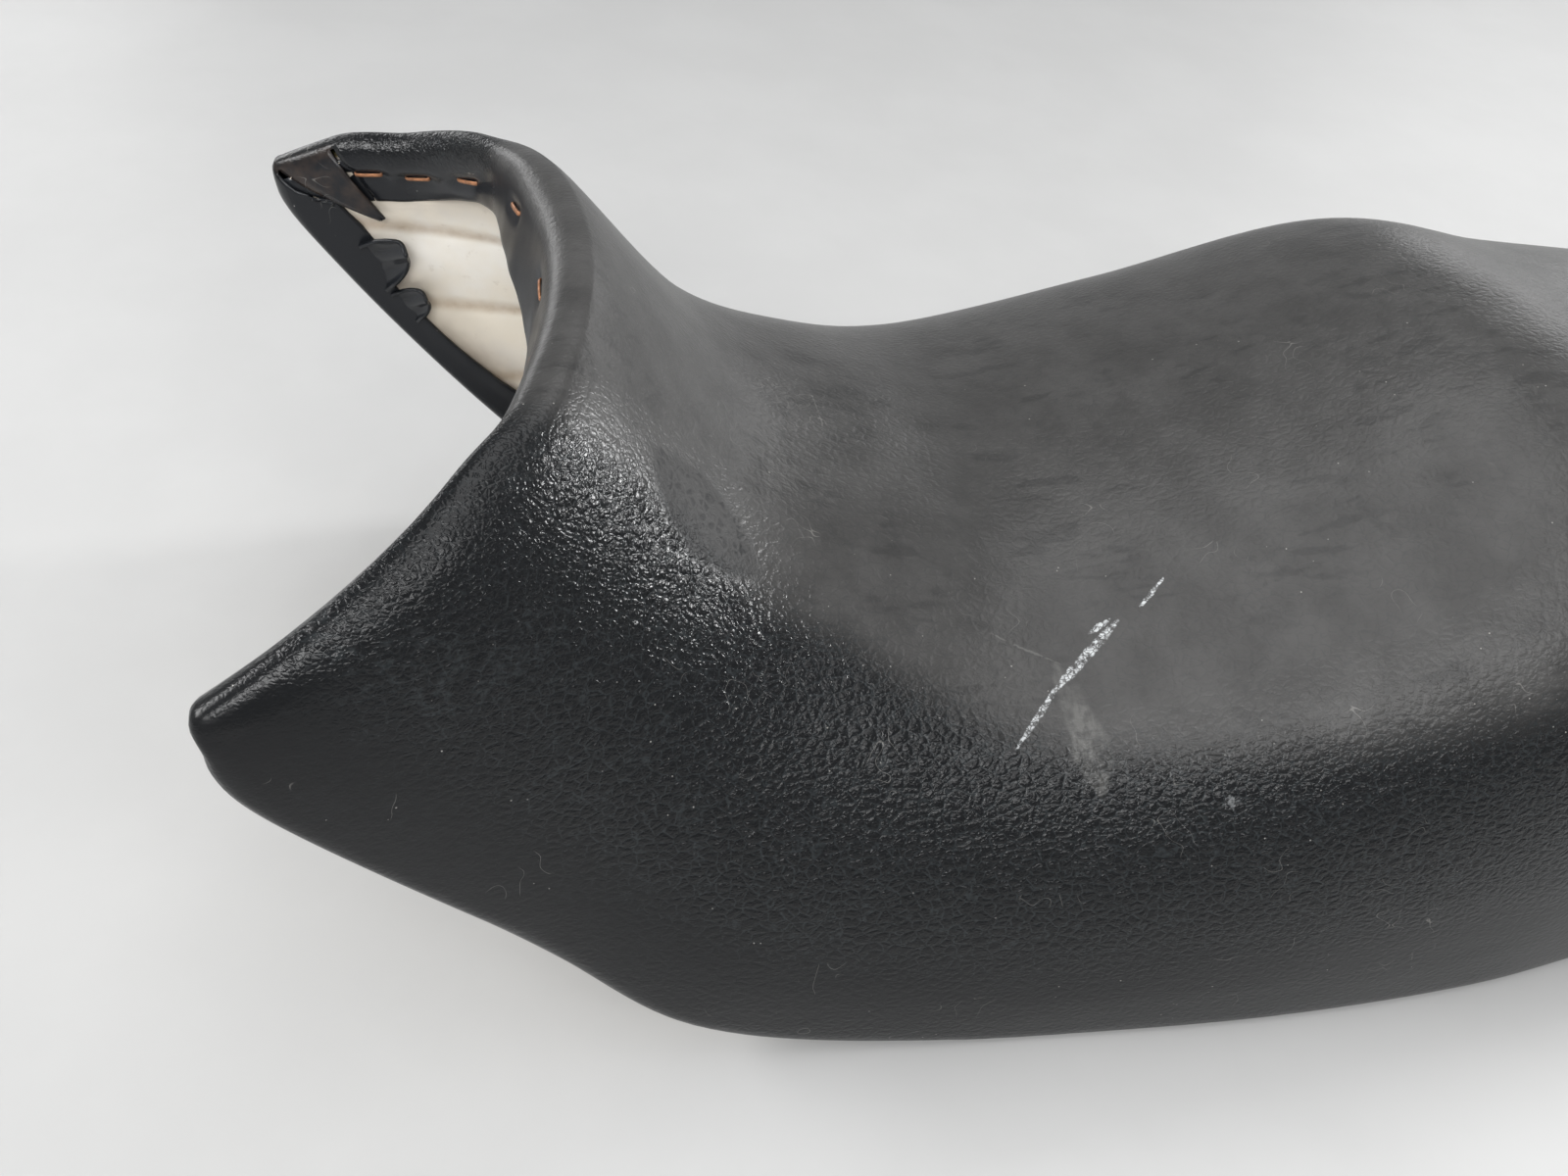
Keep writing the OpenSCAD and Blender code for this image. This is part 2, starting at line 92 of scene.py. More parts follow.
class Wire:
    # One socket of a node tree. Sums, products and powers of wires add their Math nodes.
    def __init__(self, tree, socket=None):
        self.tree = tree
        self.socket = socket

    def make(self, kind, settings=None, inputs=None, output=0):
        # Settings first, because some of them change which sockets the node has
        node = self.tree.nodes.new(kind)
        for name, value in (settings or {}).items():
            setattr(node, name, value)
        for name, value in (inputs or {}).items():
            if isinstance(value, Wire):
                self.tree.links.new(value.socket, node.inputs[name])
            else:
                node.inputs[name].default_value = value
        return Wire(self.tree, node.outputs[output]) if len(node.outputs) else None

    def math(self, operation, *values, clamp=False):
        return self.make("ShaderNodeMath", {"operation": operation, "use_clamp": clamp},
                         dict(enumerate(values)))

    def __add__(self, other):
        return self.math("ADD", self, other)

    __radd__ = __add__

    def __sub__(self, other):
        return self.math("SUBTRACT", self, other)

    def __rsub__(self, other):
        return self.math("SUBTRACT", other, self)

    def __mul__(self, other):
        return self.math("MULTIPLY", self, other)

    __rmul__ = __mul__

    def __pow__(self, other):
        return self.math("POWER", self, other)

    def clamped(self):
        return self.math("ADD", self, 0, clamp=True)

    def step(self, low, high):
        # 0 below low, 1 above high, smooth between; low may be the larger one
        return self.make("ShaderNodeMapRange", {"interpolation_type": "SMOOTHSTEP"},
                         {"Value": self, "From Min": low, "From Max": high})

    def tint(self, first, second):
        # This wire is the share of the second colour
        return self.make("ShaderNodeMix", {"data_type": "RGBA"},
                         {0: self, 6: asColour(first), 7: asColour(second)}, output=2)

    def mapped(self, scale):
        return self.make("ShaderNodeMapping", None, {"Vector": self, "Scale": scale})

    def noise(self, scale, detail=2.0, roughness=0.5):
        return self.make("ShaderNodeTexNoise", None,
                         {"Vector": self, "Scale": scale, "Detail": detail, "Roughness": roughness})

    def noiseVector(self, scale, detail=2.0):
        return self.make("ShaderNodeTexNoise", None,
                         {"Vector": self, "Scale": scale, "Detail": detail}, output=1)

    def cells(self, scale, feature="F1"):
        return self.make("ShaderNodeTexVoronoi", {"feature": feature}, {"Vector": self, "Scale": scale})

    def vector(self, operation, other, output=0):
        return self.make("ShaderNodeVectorMath", {"operation": operation}, {0: self, 1: other}, output)

    def moved(self, other, amount):
        # A place pushed aside by a noise vector, at most by half an amount each way
        push = self.make("ShaderNodeVectorMath", {"operation": "SCALE"},
                         {0: other.vector("SUBTRACT", (0.5, 0.5, 0.5)), "Scale": amount})
        return self.vector("ADD", push)

    def nearness(self, place, inner, outer):
        # 1 within inner of a place, 0 beyond outer
        return self.vector("DISTANCE", place, output=1).step(outer, inner)

    def stroke(self, start, end, width):
        # 1 on a stretch between two places, 0 beyond its width, which shrinks to both ends
        along = [b - a for a, b in zip(start, end)]
        square = sum(v * v for v in along)
        share = (self.vector("SUBTRACT", start).vector("DOT_PRODUCT", along, 1) * (1 / square)).clamped()
        foot = self.make("ShaderNodeVectorMath", {"operation": "SCALE"}, {0: along, "Scale": share})
        gap = self.vector("DISTANCE", foot.vector("ADD", start), 1) * (1 / width)
        return (1.25 - gap - 3 * (share - 0.5) ** 2).step(0.1, 0.5)

    def attribute(self, name):
        return self.make("ShaderNodeAttribute", {"attribute_name": name}, output=2)

    def part(self, axis):
        return self.make("ShaderNodeSeparateXYZ", None, {0: self}, "XYZ".index(axis))

    def bump(self, distance, strength=1.0, under=None):
        # This wire is the height; under is the normal of a coarser bump
        inputs = {"Height": self, "Distance": distance, "Strength": strength}
        if under:
            inputs["Normal"] = under
        return self.make("ShaderNodeBump", None, inputs)


def total(wires):
    # The sum of several wires
    first, *others = wires
    return sum(others, first)


def asColour(value):
    return value if isinstance(value, Wire) else (*value, 1)


def newMaterial(name):
    # An empty material, its wire, and the place of each point in its object's own coordinates
    material = bpy.data.materials.new(name)
    material.use_nodes = True
    material.node_tree.nodes.clear()
    wire = Wire(material.node_tree)
    return material, wire, wire.make("ShaderNodeTexCoord", output=3)


def surfaceFinish(wire, inputs):
    colour = inputs["Base Color"]
    shader = wire.make("ShaderNodeBsdfPrincipled", None, {**inputs, "Base Color": asColour(colour)})
    wire.make("ShaderNodeOutputMaterial", None, {"Surface": shader})


def mix(a, b, u):
    # a at u = 0, b at u = 1
    return a + (b - a) * u


def ease(u, low=0.0, high=1.0):
    # 0 below low, 1 above high, and a smooth S between
    v = np.clip((u - low) / (high - low), 0, 1)
    return v * v * (3 - 2 * v)


def unit(v):
    # Vectors divided by their lengths
    return v / (np.linalg.norm(v, axis=-1, keepdims=True) + 1e-12)


# The driving sizes of the seat's solids, in millimetres
seatShape = {
    "noseWidth": 244, "tipHeight": 143, "archDepth": 80, "pommelHeight": 183,
    "dipPlace": 208, "dipHeight": 121, "waistWidth": 246, "widest": 263,
    "crestPlace": 345, "crestHeight": 165, "backHeight": 145, "backWidth": 213,
    "length": 710, "foamAtRim": 6.5, "panHeight": 78, "sweep": 1.8,
    "tipLift": 4.6, "edgeDrop": 2.6,
}


def crossSections():
    # One row for each rib from nose to tail: y of its middle, y of its ends, height of its top,
    # half its width, height of its ends, and height of the pan's top
    h = seatShape
    arch, pommel, dip, crest = h["archDepth"], h["pommelHeight"], h["dipPlace"], h["crestPlace"]
    heel, half, pan, low = dip - 14, h["noseWidth"] / 2, h["panHeight"], h["dipHeight"]
    waist, wide, back, tip = h["waistWidth"] / 2, h["widest"] / 2, h["backWidth"] / 2, h["tipHeight"]
    top, rest = h["crestHeight"], h["backHeight"]
    tail = rest * 0.235

    def rear(u):
        return mix(crest, h["length"], u)

    def straight(y, height, side, panTop):
        return [y, y, height, side, 0, panTop]

    return np.array([
        [arch, 0, pommel, half, tip, pommel - h["foamAtRim"]],
        [arch * 1.1, arch * 0.1, pommel, half + 1, tip * 0.82, pommel - h["foamAtRim"] - 4],
        [mix(arch, dip, 0.36), heel / 3, mix(pommel, low, 0.65), half - 4, tip * 0.37,
         mix(pommel, pan, 0.54)],
        [mix(arch, dip, 0.69), heel * 0.58, mix(pommel, low, 0.92), waist, tip * 0.09,
         mix(pommel, pan, 0.86)],
        [dip, heel, low, waist + 5, 0, pan],
        straight(mix(dip, crest, 0.49), mix(low, top, 0.41), wide, pan),
        straight(crest, top, wide - 2, pan),
        straight(rear(0.15), mix(top, rest, 0.25), mix(wide, back, 0.36), pan),
        straight(rear(0.34), mix(top, rest, 0.5), mix(wide, back, 0.65), pan),
        straight(rear(0.59), rest, back, pan),
        straight(rear(0.81), rest * 0.96, back * 0.868, pan),
        straight(rear(0.945), rest * 0.79, back * 0.72, pan * 0.95),
        straight(h["length"], tail, back * 0.54, tail - h["foamAtRim"]),
    ]) * mm


ribs = crossSections()
lastRib = len(ribs) - 1


def sectionAt(s):
    # A smooth curve through the rows of ribs, at the place s from 0 at the nose to lastRib
    s = np.asarray(s, float)
    i = np.clip(np.floor(s).astype(int), 0, lastRib - 1)
    u = (s - i)[..., None]
    rows = np.vstack([2 * ribs[0] - ribs[1], ribs, 2 * ribs[-1] - ribs[-2]])
    a, b, c, d = rows[i], rows[i + 1], rows[i + 2], rows[i + 3]
    row = b + 0.5 * u * (c - a + u * (2 * a - 5 * b + 4 * c - d + u * (3 * (b - c) + d - a)))
    row[..., 4] = np.maximum(row[..., 4], 0)
    return row


def ribPoint(s, t, row, top, side, crown, flank):
    # Half a rib is a cubic curve from its top at t = 0 to its end at t = 1 or -1:
    # flat at the top, upright with a slight bulge at the end, and swept along y with t
    u = np.abs(t)
    front = 1 - np.minimum(s, 5) / 5
    bulge = (15 - 31 * front * front) * mm
    low = row[..., 4]
    x = 3 * u * (1 - u) ** 2 * crown * side + 3 * u * u * (1 - u) * (side + bulge) + u ** 3 * side
    z = (1 - u) ** 2 * (1 + 2 * u) * top + 3 * u * u * (1 - u) * (low + flank * (top - low)) + u ** 3 * low
    y = row[..., 0] - (row[..., 0] - row[..., 1]) * u ** seatShape["sweep"] - seatShape["length"] * mm / 2
    # The right wing's nose edge runs a little straighter to its tip than the left one's
    right = np.maximum(-t, 0)
    lift = seatShape["tipLift"] * ease(right, 0.64, 0.86)
    drop = seatShape["edgeDrop"] * ease(right, 0.2, 0.42) * ease(right, 0.85, 0.5)
    z = z + (1 - ease(s, 0, 2)) * (lift - drop) * mm
    return np.stack(np.broadcast_arrays(np.sign(t) * x, y, z), -1)


def cushionSkin(s, t, depth=0):
    # The cushion's surface: the rib at s and its point at t, with its top and side drawn in by a depth
    s, t = np.broadcast_arrays(s, t)
    row = sectionAt(s)
    crown = mix(0.58, 0.77, np.minimum(s, 5) / 5)
    return ribPoint(s, t, row, row[..., 2] - depth, row[..., 3] - depth, crown, 0.73)


def panSkin(s, t, depth=0):
    # The pan's outer surface: the same ribs with the pan's own top, inside the foam at the rim
    s, t = np.broadcast_arrays(s, t)
    row = sectionAt(s)
    k = ease(s / 4)
    side = row[..., 3] - seatShape["foamAtRim"] * mm - depth
    return ribPoint(s, t, row, row[..., 5] - depth, side, mix(0.58, 0.9, k), mix(0.73, 0.85, k))


def slopes(skin, s, t, depth=0):
    # How the skin's point moves with s and with t
    e = 1e-3
    sLow, sHigh = np.maximum(s - e, 0), np.minimum(s + e, lastRib)
    alongS = (skin(sHigh, t, depth) - skin(sLow, t, depth)) / (sHigh - sLow)[..., None]
    alongT = (skin(s, t + e, depth) - skin(s, t - e, depth)) / (2 * e)
    return alongS, alongT


def facing(skin, s, t, depth=0):
    # The skin's outward direction, up on the top of the seat
    alongS, alongT = slopes(skin, s, t, depth)
    return unit(np.cross(alongT, alongS))


def gridFaces(index, closedAround=False):
    # Four-cornered faces between the rows of an index grid
    if closedAround:
        index = np.concatenate([index, index[:, :1]], 1)
    a, b, c, d = index[:-1, :-1], index[:-1, 1:], index[1:, 1:], index[1:, :-1]
    return np.stack([a, b, c, d], -1).reshape(-1, 4)


def numbered(points):
    # The numbers of a grid's points, in the grid's own rows
    return np.arange(points[..., 0].size).reshape(points.shape[:-1])


def makePiece(name, points, faces, material=None, values=None, smooth=True):
    # One mesh object with a list of values for each name in values, one value to a point
    mesh = bpy.data.meshes.new(name)
    faceList = faces.tolist() if isinstance(faces, np.ndarray) else faces
    mesh.from_pydata(np.asarray(points, float).reshape(-1, 3).tolist(), [], faceList)
    mesh.update()
    for key, value in (values or {}).items():
        attribute = mesh.attributes.new(key, "FLOAT", "POINT")
        attribute.data.foreach_set("value", np.asarray(value, np.float32).ravel())
    mesh.polygons.foreach_set("use_smooth", np.full(len(mesh.polygons), smooth))
    if material:
        mesh.materials.append(material)
    piece = bpy.data.objects.new(name, mesh)
    bpy.context.scene.collection.objects.link(piece)
    return piece


def addModifier(piece, kind, **settings):
    modifier = piece.modifiers.new(kind.title(), kind)
    for key, value in settings.items():
        setattr(modifier, key, value)
    return modifier


# Seat cover: one sheet of vinyl over the cushion, rolled round the rim and turned in as a hem.
# Lengths in millimetres
coverCut = {
    "rows": 200, "columns": 150, "denserNose": 1.6,
    "sideRoll": 5.5, "noseRoll": 8, "tailRoll": 6,    # how far each roll reaches past the stretched part
    "cornerRound": 4,
    # The hem's widths, from the end of the roll to the cut edge
    "noseHem": 11.5, "wingHem": 8, "tipHem": 6.5, "hem": 15, "cornerHem": 6, "tipCorner": 12, "narrowing": 6,
    "hemSteps": 12, "rollSteps": 10,
    "hemDepth": 4.8,                                  # below the pan's outer face
    "vinyl": 1.2,
    "valance": (0.32, 0.5),                           # where the hem stops hanging free, from the middle
    "fullMiddle": 5.6, "fullRight": 1.0, "fullLeft": 3.4,
    "valanceDrop": 8.0, "valanceSlope": 0.22, "valanceHem": 17,
    "rightTuck": 0.4, "evening": 60, "hemCurl": 1.4,
    "foldColumns": 13, "foldTip": (1.04, 0.831), "foldLift": 2.4,   # the pleat at each wing tip
}


def evenPlaces(skin, low, high, count, denser=0.0, until=1.0):
    # Places from low to high that are evenly spaced along the curve, or denser up to a place
    u = np.linspace(low, high, 4001)
    steps = np.linalg.norm(np.diff(skin(u), axis=0), axis=-1)
    steps *= 1 + denser * ease(u[1:], until + 0.6, until)
    length = np.concatenate([[0], np.cumsum(steps)])
    return np.interp(np.linspace(0, length[-1], count), length, u)


def placeAtDistance(t, distance, fromNose):
    # The s at a distance from the nose or the tail along each line of constant t
    s = np.linspace(0, 2, 401)[:, None]
    if not fromNose:
        s = lastRib - s
    steps = np.linalg.norm(np.diff(cushionSkin(s, t[None]), axis=0), axis=-1)
    length = np.cumsum(steps, axis=0)
    k = np.minimum((length < distance).sum(0) + (distance > 0), len(length) - 1)
    return s[k, 0]


def runFrom(points, axis, fromEnd=False):
    # Distance of each grid point from one edge of the grid, along the grid's lines
    steps = np.linalg.norm(np.diff(points, axis=axis), axis=-1)
    steps = np.flip(steps, axis) if fromEnd else steps
    pad = np.zeros_like(np.take(steps, [0], axis))
    run = np.concatenate([pad, np.cumsum(steps, axis)], axis)
    return np.flip(run, axis) if fromEnd else run


def placesWithin(side, nose, tail):
    # A grid of places s and t on the cushion, drawn in from the rim and with round corners.
    # A corner's square becomes a quarter disc: x takes the root of 1 - y * y / 2, and y likewise
    c = coverCut
    along = evenPlaces(lambda u: cushionSkin(u, 0.98), 0, lastRib, c["rows"], c["denserNose"], 1.9)
    across = evenPlaces(lambda u: cushionSkin(5.0, u), -1, 1, c["columns"])
    edge = np.linalg.norm(slopes(cushionSkin, along, np.full(len(along), 0.98))[1], axis=-1)
    t = across[None] * (1 - side * mm / edge)[:, None]
    first = placeAtDistance(across, nose * mm, True)
    last = placeAtDistance(across, tail * mm, False)
    s = mix(first[None], last[None], (along / lastRib)[:, None])
    points = cushionSkin(s, t)
    perS, perT = (np.linalg.norm(v, axis=-1) for v in slopes(cushionSkin, s, t))
    radius = c["cornerRound"] * mm
    for atTail in (False, True):
        for atRight in (False, True):
            x = np.clip(1 - runFrom(points, 1, atRight) / radius, 0, 1)
            y = np.clip(1 - runFrom(points, 0, atTail) / radius, 0, 1)
            inX = radius * (x - x * np.sqrt(1 - y * y / 2)) / perT
            inY = radius * (y - y * np.sqrt(1 - x * x / 2)) / perS
            t = t + (-inX if atRight else inX)
            s = s + (-inY if atTail else inY)
    return s, t


def aroundEdge(grid):
    # The grid's border, anticlockwise from the front right corner
    return np.concatenate([grid[0], grid[1:, -1], grid[-1, -2::-1], grid[-2:0:-1, 0]])


def evenedRound(values, reach):
    # A running mean round a closed ring
    return sum(np.roll(values, k, 0) for k in range(-reach, reach + 1)) / (2 * reach + 1)


def flattened(v, out):
    # The direction of v in the surface that faces out
    return unit(v - (v * out).sum(-1, keepdims=True) * out)


def hemWalk(s, t, direction, widths, steps, depth):
    # Walks from places on the pan along a direction in its surface: each step is solved for the
    # changes of s and t that make it, and each row holds the points that the walk has reached
    rows = []
    for _ in range(steps):
        alongS, alongT = slopes(panSkin, s, t, depth)
        direction = flattened(direction, unit(np.cross(alongT, alongS)))
        step = direction * (widths / steps)[:, None]
        ss, st, tt = ((a * b).sum(-1) for a, b in ((alongS, alongS), (alongS, alongT), (alongT, alongT)))
        ps, pt = (step * alongS).sum(-1), (step * alongT).sum(-1)
        det = ss * tt - st * st
        s = np.clip(s + (ps * tt - pt * st) / det, 0, lastRib)
        t = t + (pt * ss - ps * st) / det
        rows.append(panSkin(s, t, depth))
    return np.stack(rows)


def noseFullness(t):
    # How far the roll stands ahead of the solids' edge, in millimetres, from the right wing to the left
    c = coverCut
    return np.where(t < 0, mix(c["fullMiddle"], c["fullRight"], ease(-t, 0.12, 0.42)),
                    mix(c["fullMiddle"], c["fullLeft"], ease(t, 0.6, 1)))


def ringNormals(rows):
    # The outward direction of a grid of rings, across its rows and round its rings
    across = np.gradient(rows, axis=0)
    around = np.roll(rows, -1, 1) - np.roll(rows, 1, 1)
    return unit(np.cross(across, around))


def bump(u, middle, reach):
    # A smooth hump of height 1 at the middle, with the sides of a Gaussian curve
    return np.exp(-((u - middle) / reach) ** 2)


def coverRing(s, t, lip):
    # The roll goes from the cushion's skin to the pan's as a squared half round: across it goes the
    # power of a cosine, and outwards the power of a sine, fuller on the outer side. The hem goes on
    # from there over the pan. Round the middle of the arch it turns down over the pan's front flange.
    c = coverCut
    wide = c["columns"]
    count = len(s)
    depth = c["hemDepth"] * mm
    skin, up = cushionSkin(s, t), facing(cushionSkin, s, t)
    under, underUp = panSkin(s, t, depth), facing(panSkin, s, t, depth)
    tail = wide + c["rows"] - 1
    place = np.arange(count)
    atNose = place < wide
    push = evenedRound(np.where(atNose, noseFullness(t), 0.0), 3)[:, None]
    full = lip + push * np.array([0, -1, 0]) * mm
    # The right wing's rim is drawn in behind its tip and stands a little further out at the tip
    tuck = ease(-t, 0, 0.5) * (ease(s, 3.2, 1.6) * ease(s, 0.7, 1.3) - 0.9 * bump(s, 0.55, 0.35))
    tuck = evenedRound(np.where(atNose, 0.0, tuck), 2)[:, None]
    full = mix(full, skin, c["rightTuck"] * tuck)
    roll = np.linalg.norm(full - skin, axis=-1, keepdims=True)
    out = flattened(full - skin, up)
    underOut = flattened(full - skin, underUp)
    angle = np.linspace(0, np.pi, c["rollSteps"] + 1)[1:, None, None]
    power = np.where(angle < 1.5, 0.7, 1.0)
    across = 0.5 - 0.5 * np.sign(np.cos(angle)) * np.abs(np.cos(angle)) ** power
    outwards = np.abs(np.sin(angle)) ** power * roll
    rollRows = mix(skin, under, across) + outwards * unit(mix(out, underOut, across))

    corners = np.array([0, wide - 1, tail - 1, tail + wide - 2])
    fromCorner = np.abs((place[:, None] - corners + count // 2) % count - count // 2).min(1)
    width = mix(c["wingHem"], c["hem"], ease(s, 1.5, 2.6)) + c["tipHem"] * ease(s, 1.34, 1.22)
    width[:wide] = (c["noseHem"] - c["narrowing"] * ease(np.abs(t), 0.75, 0.45))[:wide]
    atCorner = np.where((s < 2) & ~atNose, c["tipCorner"], c["cornerHem"])
    width = mix(atCorner, width, ease(fromCorner, 1, 9)) * mm
    forward = unit(np.roll(skin, -1, 0) - np.roll(skin, 1, 0))
    hemRows = hemWalk(s, t, np.cross(underUp, forward), width, c["hemSteps"], depth)

    v = np.linspace(0, 1, c["rollSteps"] + 1)[1:, None, None]
    free = np.where(atNose, 1 - ease(np.abs(t), *c["valance"]), 0.0)
    away = ease(-t, 0.12, 0.42)[:, None]
    hang = unit(np.concatenate([0 * away, -mix(c["valanceSlope"], 0.06, away), 0 * away - 1], 1))
    start = full + np.array([0, 0, -c["valanceDrop"]]) * mm
    high, low = lip + 0.004 * out, start - 5 * mm * hang
    freeRoll = (1 - v) ** 3 * skin + 3 * (1 - v) ** 2 * v * high + 3 * (1 - v) * v * v * low + v ** 3 * start
    reach = np.linspace(0, 1, c["hemSteps"] + 1)[1:, None, None]
    freeHem = start + hang * (reach * mix(c["valanceHem"], c["noseHem"], away) * mm)
    rows = mix(np.concatenate([rollRows, hemRows]), np.concatenate([freeRoll, freeHem]), free[None, :, None])
    # Where the hem turns down, each ring is evened out, more so towards the cut edge
    turn = evenedRound(np.where(atNose, ease(np.abs(t), 0.1, 0.25) * ease(np.abs(t), 0.72, 0.55), 0.0), 2)
    share = turn[None, :] * ease(np.arange(len(rows)), c["rollSteps"] - 6, len(rows) - 4)[:, None]
    for _ in range(c["evening"]):
        rows = mix(rows, (np.roll(rows, 1, 1) + np.roll(rows, -1, 1)) / 2, share[..., None])
    tipFold(rows, False)
    tipFold(rows, True)
    return rows


def tipFold(rows, onLeft):
    # The surplus vinyl of a wing tip, laid over the hem as a pleat: from the roll each column follows
    # a curve with one control point to the pleat's tip, so the pleat is a rounded triangle
    c = coverCut
    columns = np.arange(c["foldColumns"])
    u = (columns / (len(columns) - 1))[:, None]
    if onLeft:
        columns = c["columns"] - 1 - columns
    first = c["rollSteps"] // 2
    s, t = c["foldTip"]
    t = np.array(t if onLeft else -t)
    s = np.array(s)
    inward = -facing(panSkin, s, t)
    tip = panSkin(s, t, (c["hemDepth"] + c["foldLift"]) * mm)
    spread = unit(rows[first, columns[-1]] - rows[first, columns[0]])
    ends = tip + (u - 0.5) * 1.6 * mm * spread
    over = rows[c["rollSteps"], columns] + inward * mix(0.8, c["foldLift"] + 0.8, ease(u, 0, 0.35)) * mm
    v = np.linspace(0, 1, len(rows) - first)[1:, None, None]
    start = rows[first, columns]
    rows[first + 1:, columns] = (1 - v) ** 2 * start + 2 * v * (1 - v) * over + v * v * ends


# Loose ends of the hem near the right wing's tip: from and to along the rim, reach and lift
hemFlaps = [
    {"from": 1.12, "to": 1.315, "reach": 15.5, "lift": 5.4, "curl": 2.6, "ripple": 0.9},
    {"from": 1.36, "to": 1.475, "reach": 11.5, "lift": 3.2, "curl": 1.6, "ripple": 0.5},
]

# Staples: a flat wire with a straight crown, its two legs pressed through the hem into the pan
stapleCut = {
    "crown": 8.8, "wire": 1.4, "thickness": 0.7, "proud": 0.55, "leg": 2.0,
    "nose": (-0.8, -0.68, -0.53, -0.2, 0.03, 0.2, 0.36, 0.5, 0.62, 0.73, 0.82),
    "side": (2.1, 11.0, 32), "tail": (-0.5, 0.5, 4),
    "dent": 0.9, "dentReach": 2.6,
}


def flapPatch(rows, normals, rimPlaces, flap):
    # A tongue of vinyl that goes on past the cut edge. Its reach across is the square root of one less
    # a cube, and it rises as a sine across times its own length.
    side = np.arange(rows.shape[1] - coverCut["rows"] + 2, rows.shape[1])[::-1]
    u = np.linspace(0, 1, 26)
    column = np.interp(mix(flap["from"], flap["to"], u), rimPlaces[side], side)
    v = np.linspace(0, 1, 16)[:, None, None]
    root, up = gridPoints(rows, -5.0, column), unit(gridPoints(normals, -5.0, column))
    ahead = unit(gridPoints(rows, -1.0, column) - root)
    outline = np.sqrt(np.clip(1 - np.abs(2 * u - 1) ** 3, 0, 1)) * (1 - 0.2 * u)
    length = (flap["reach"] * outline)[:, None]
    rise = flap["lift"] * np.sin(np.pi * u)[:, None] * v ** 0.8 + flap["curl"] * v * v - 0.5 * (1 - v)
    rise = rise + flap["ripple"] * np.sin(15 * u)[:, None] * v
    return root + (ahead * length * v + up * rise) * mm


def tuckPatch(rows, normals, first, second):
    # The layer under a pleat: straight from the nose hem's last column to the side hem's first one
    c = coverCut
    under = np.arange(c["rollSteps"] // 2 + 2, len(rows))
    u = np.linspace(0, 1, 10)[None, :, None]
    depth = (0.6 + 1.4 * np.sin(np.pi * u)) * mm
    ends = [rows[under, k][:, None] - depth * normals[under, k][:, None] for k in (first, second)]
    return mix(*ends, u)


def gridPoints(grid, row, column):
    # Points of a closed grid of rings at places between its rows and columns
    row = np.where(np.asarray(row) < 0, len(grid) + np.asarray(row), row) + 0 * column
    i, j = np.floor(row).astype(int), np.floor(column).astype(int)
    u, v = (row - i)[..., None], (column - j)[..., None]
    below, beside = np.minimum(i + 1, len(grid) - 1), (j + 1) % grid.shape[1]
    j = j % grid.shape[1]
    return mix(mix(grid[i, j], grid[i, beside], v), mix(grid[below, j], grid[below, beside], v), u)


def stapleSpots(s, t):
    # Each staple's row and column on the rings, for the nose, the left, right and tail line
    c = stapleCut
    wide, count = coverCut["columns"], len(s)
    tail = wide + coverCut["rows"] - 1
    middle = coverCut["rollSteps"] + coverCut["hemSteps"] / 2
    left, right = np.arange(wide, tail), np.arange(tail + wide, count)[::-1]
    back = np.arange(tail, tail + wide - 2)[::-1]
    noseSpots = np.interp(c["nose"], t[:wide], np.arange(wide))
    sidePlaces, tailPlaces = np.linspace(*c["side"]), np.linspace(*c["tail"])
    near = coverCut["rollSteps"] + 0.6
    return {
        "nose_staples": (np.full(len(noseSpots), near), noseSpots),
        "left_staples": (np.full(c["side"][2], middle), np.interp(sidePlaces, s[left], left)),
        "right_staples": (np.full(c["side"][2], middle), np.interp(sidePlaces, s[right], right)),
        "tail_staples": (np.full(c["tail"][2], middle), np.interp(tailPlaces, t[back], back)),
    }


def stapleFrames(rows, spots, turns=4.0):
    # Middle, direction of the crown and upward direction of each staple, each turned a little by its number
    row, column = spots
    middle = gridPoints(rows, row, column)
    along = unit(gridPoints(rows, row, column + 1) - gridPoints(rows, row, column - 1))
    across = unit(gridPoints(rows, row + 1, column) - gridPoints(rows, row - 1, column))
    up = unit(np.cross(across, along))
    turn = np.radians(turns) * np.sin(2.4 * np.arange(len(column)))[:, None]
    return middle, unit(along * np.cos(turn) + np.cross(up, along) * np.sin(turn)), up


def dentedByStaples(rows, normals, spots):
    # Each staple pulls the vinyl in: the dent's depth is a Gaussian curve of the distance to its crown
    c = stapleCut
    first = coverCut["rollSteps"] - 4
    hem = rows[first:]
    depth = np.zeros(hem.shape[:2])
    for line in spots.values():
        middle, along, _ = stapleFrames(rows, line)
        half = c["crown"] / 2 * mm
        for m, a in zip(middle, along):
            away = hem - m
            down = np.clip((away * a).sum(-1), -half, half)
            gap = np.linalg.norm(away - down[..., None] * a, axis=-1)
            depth = np.maximum(depth, np.exp(-(gap / (c["dentReach"] * mm)) ** 2))
    rows[first:] -= normals[first:] * (depth * c["dent"] * mm)[..., None]


# What the cover's points carry for its material: how far they are turned in, the loose pleats, how much
#  lighter grey the skin has (partly fading, partly painted sheen and reflection), how low on the flank and
#  how celled it is
coverLayers = ("turned", "pleat", "fadeAndSheen", "low", "celled")


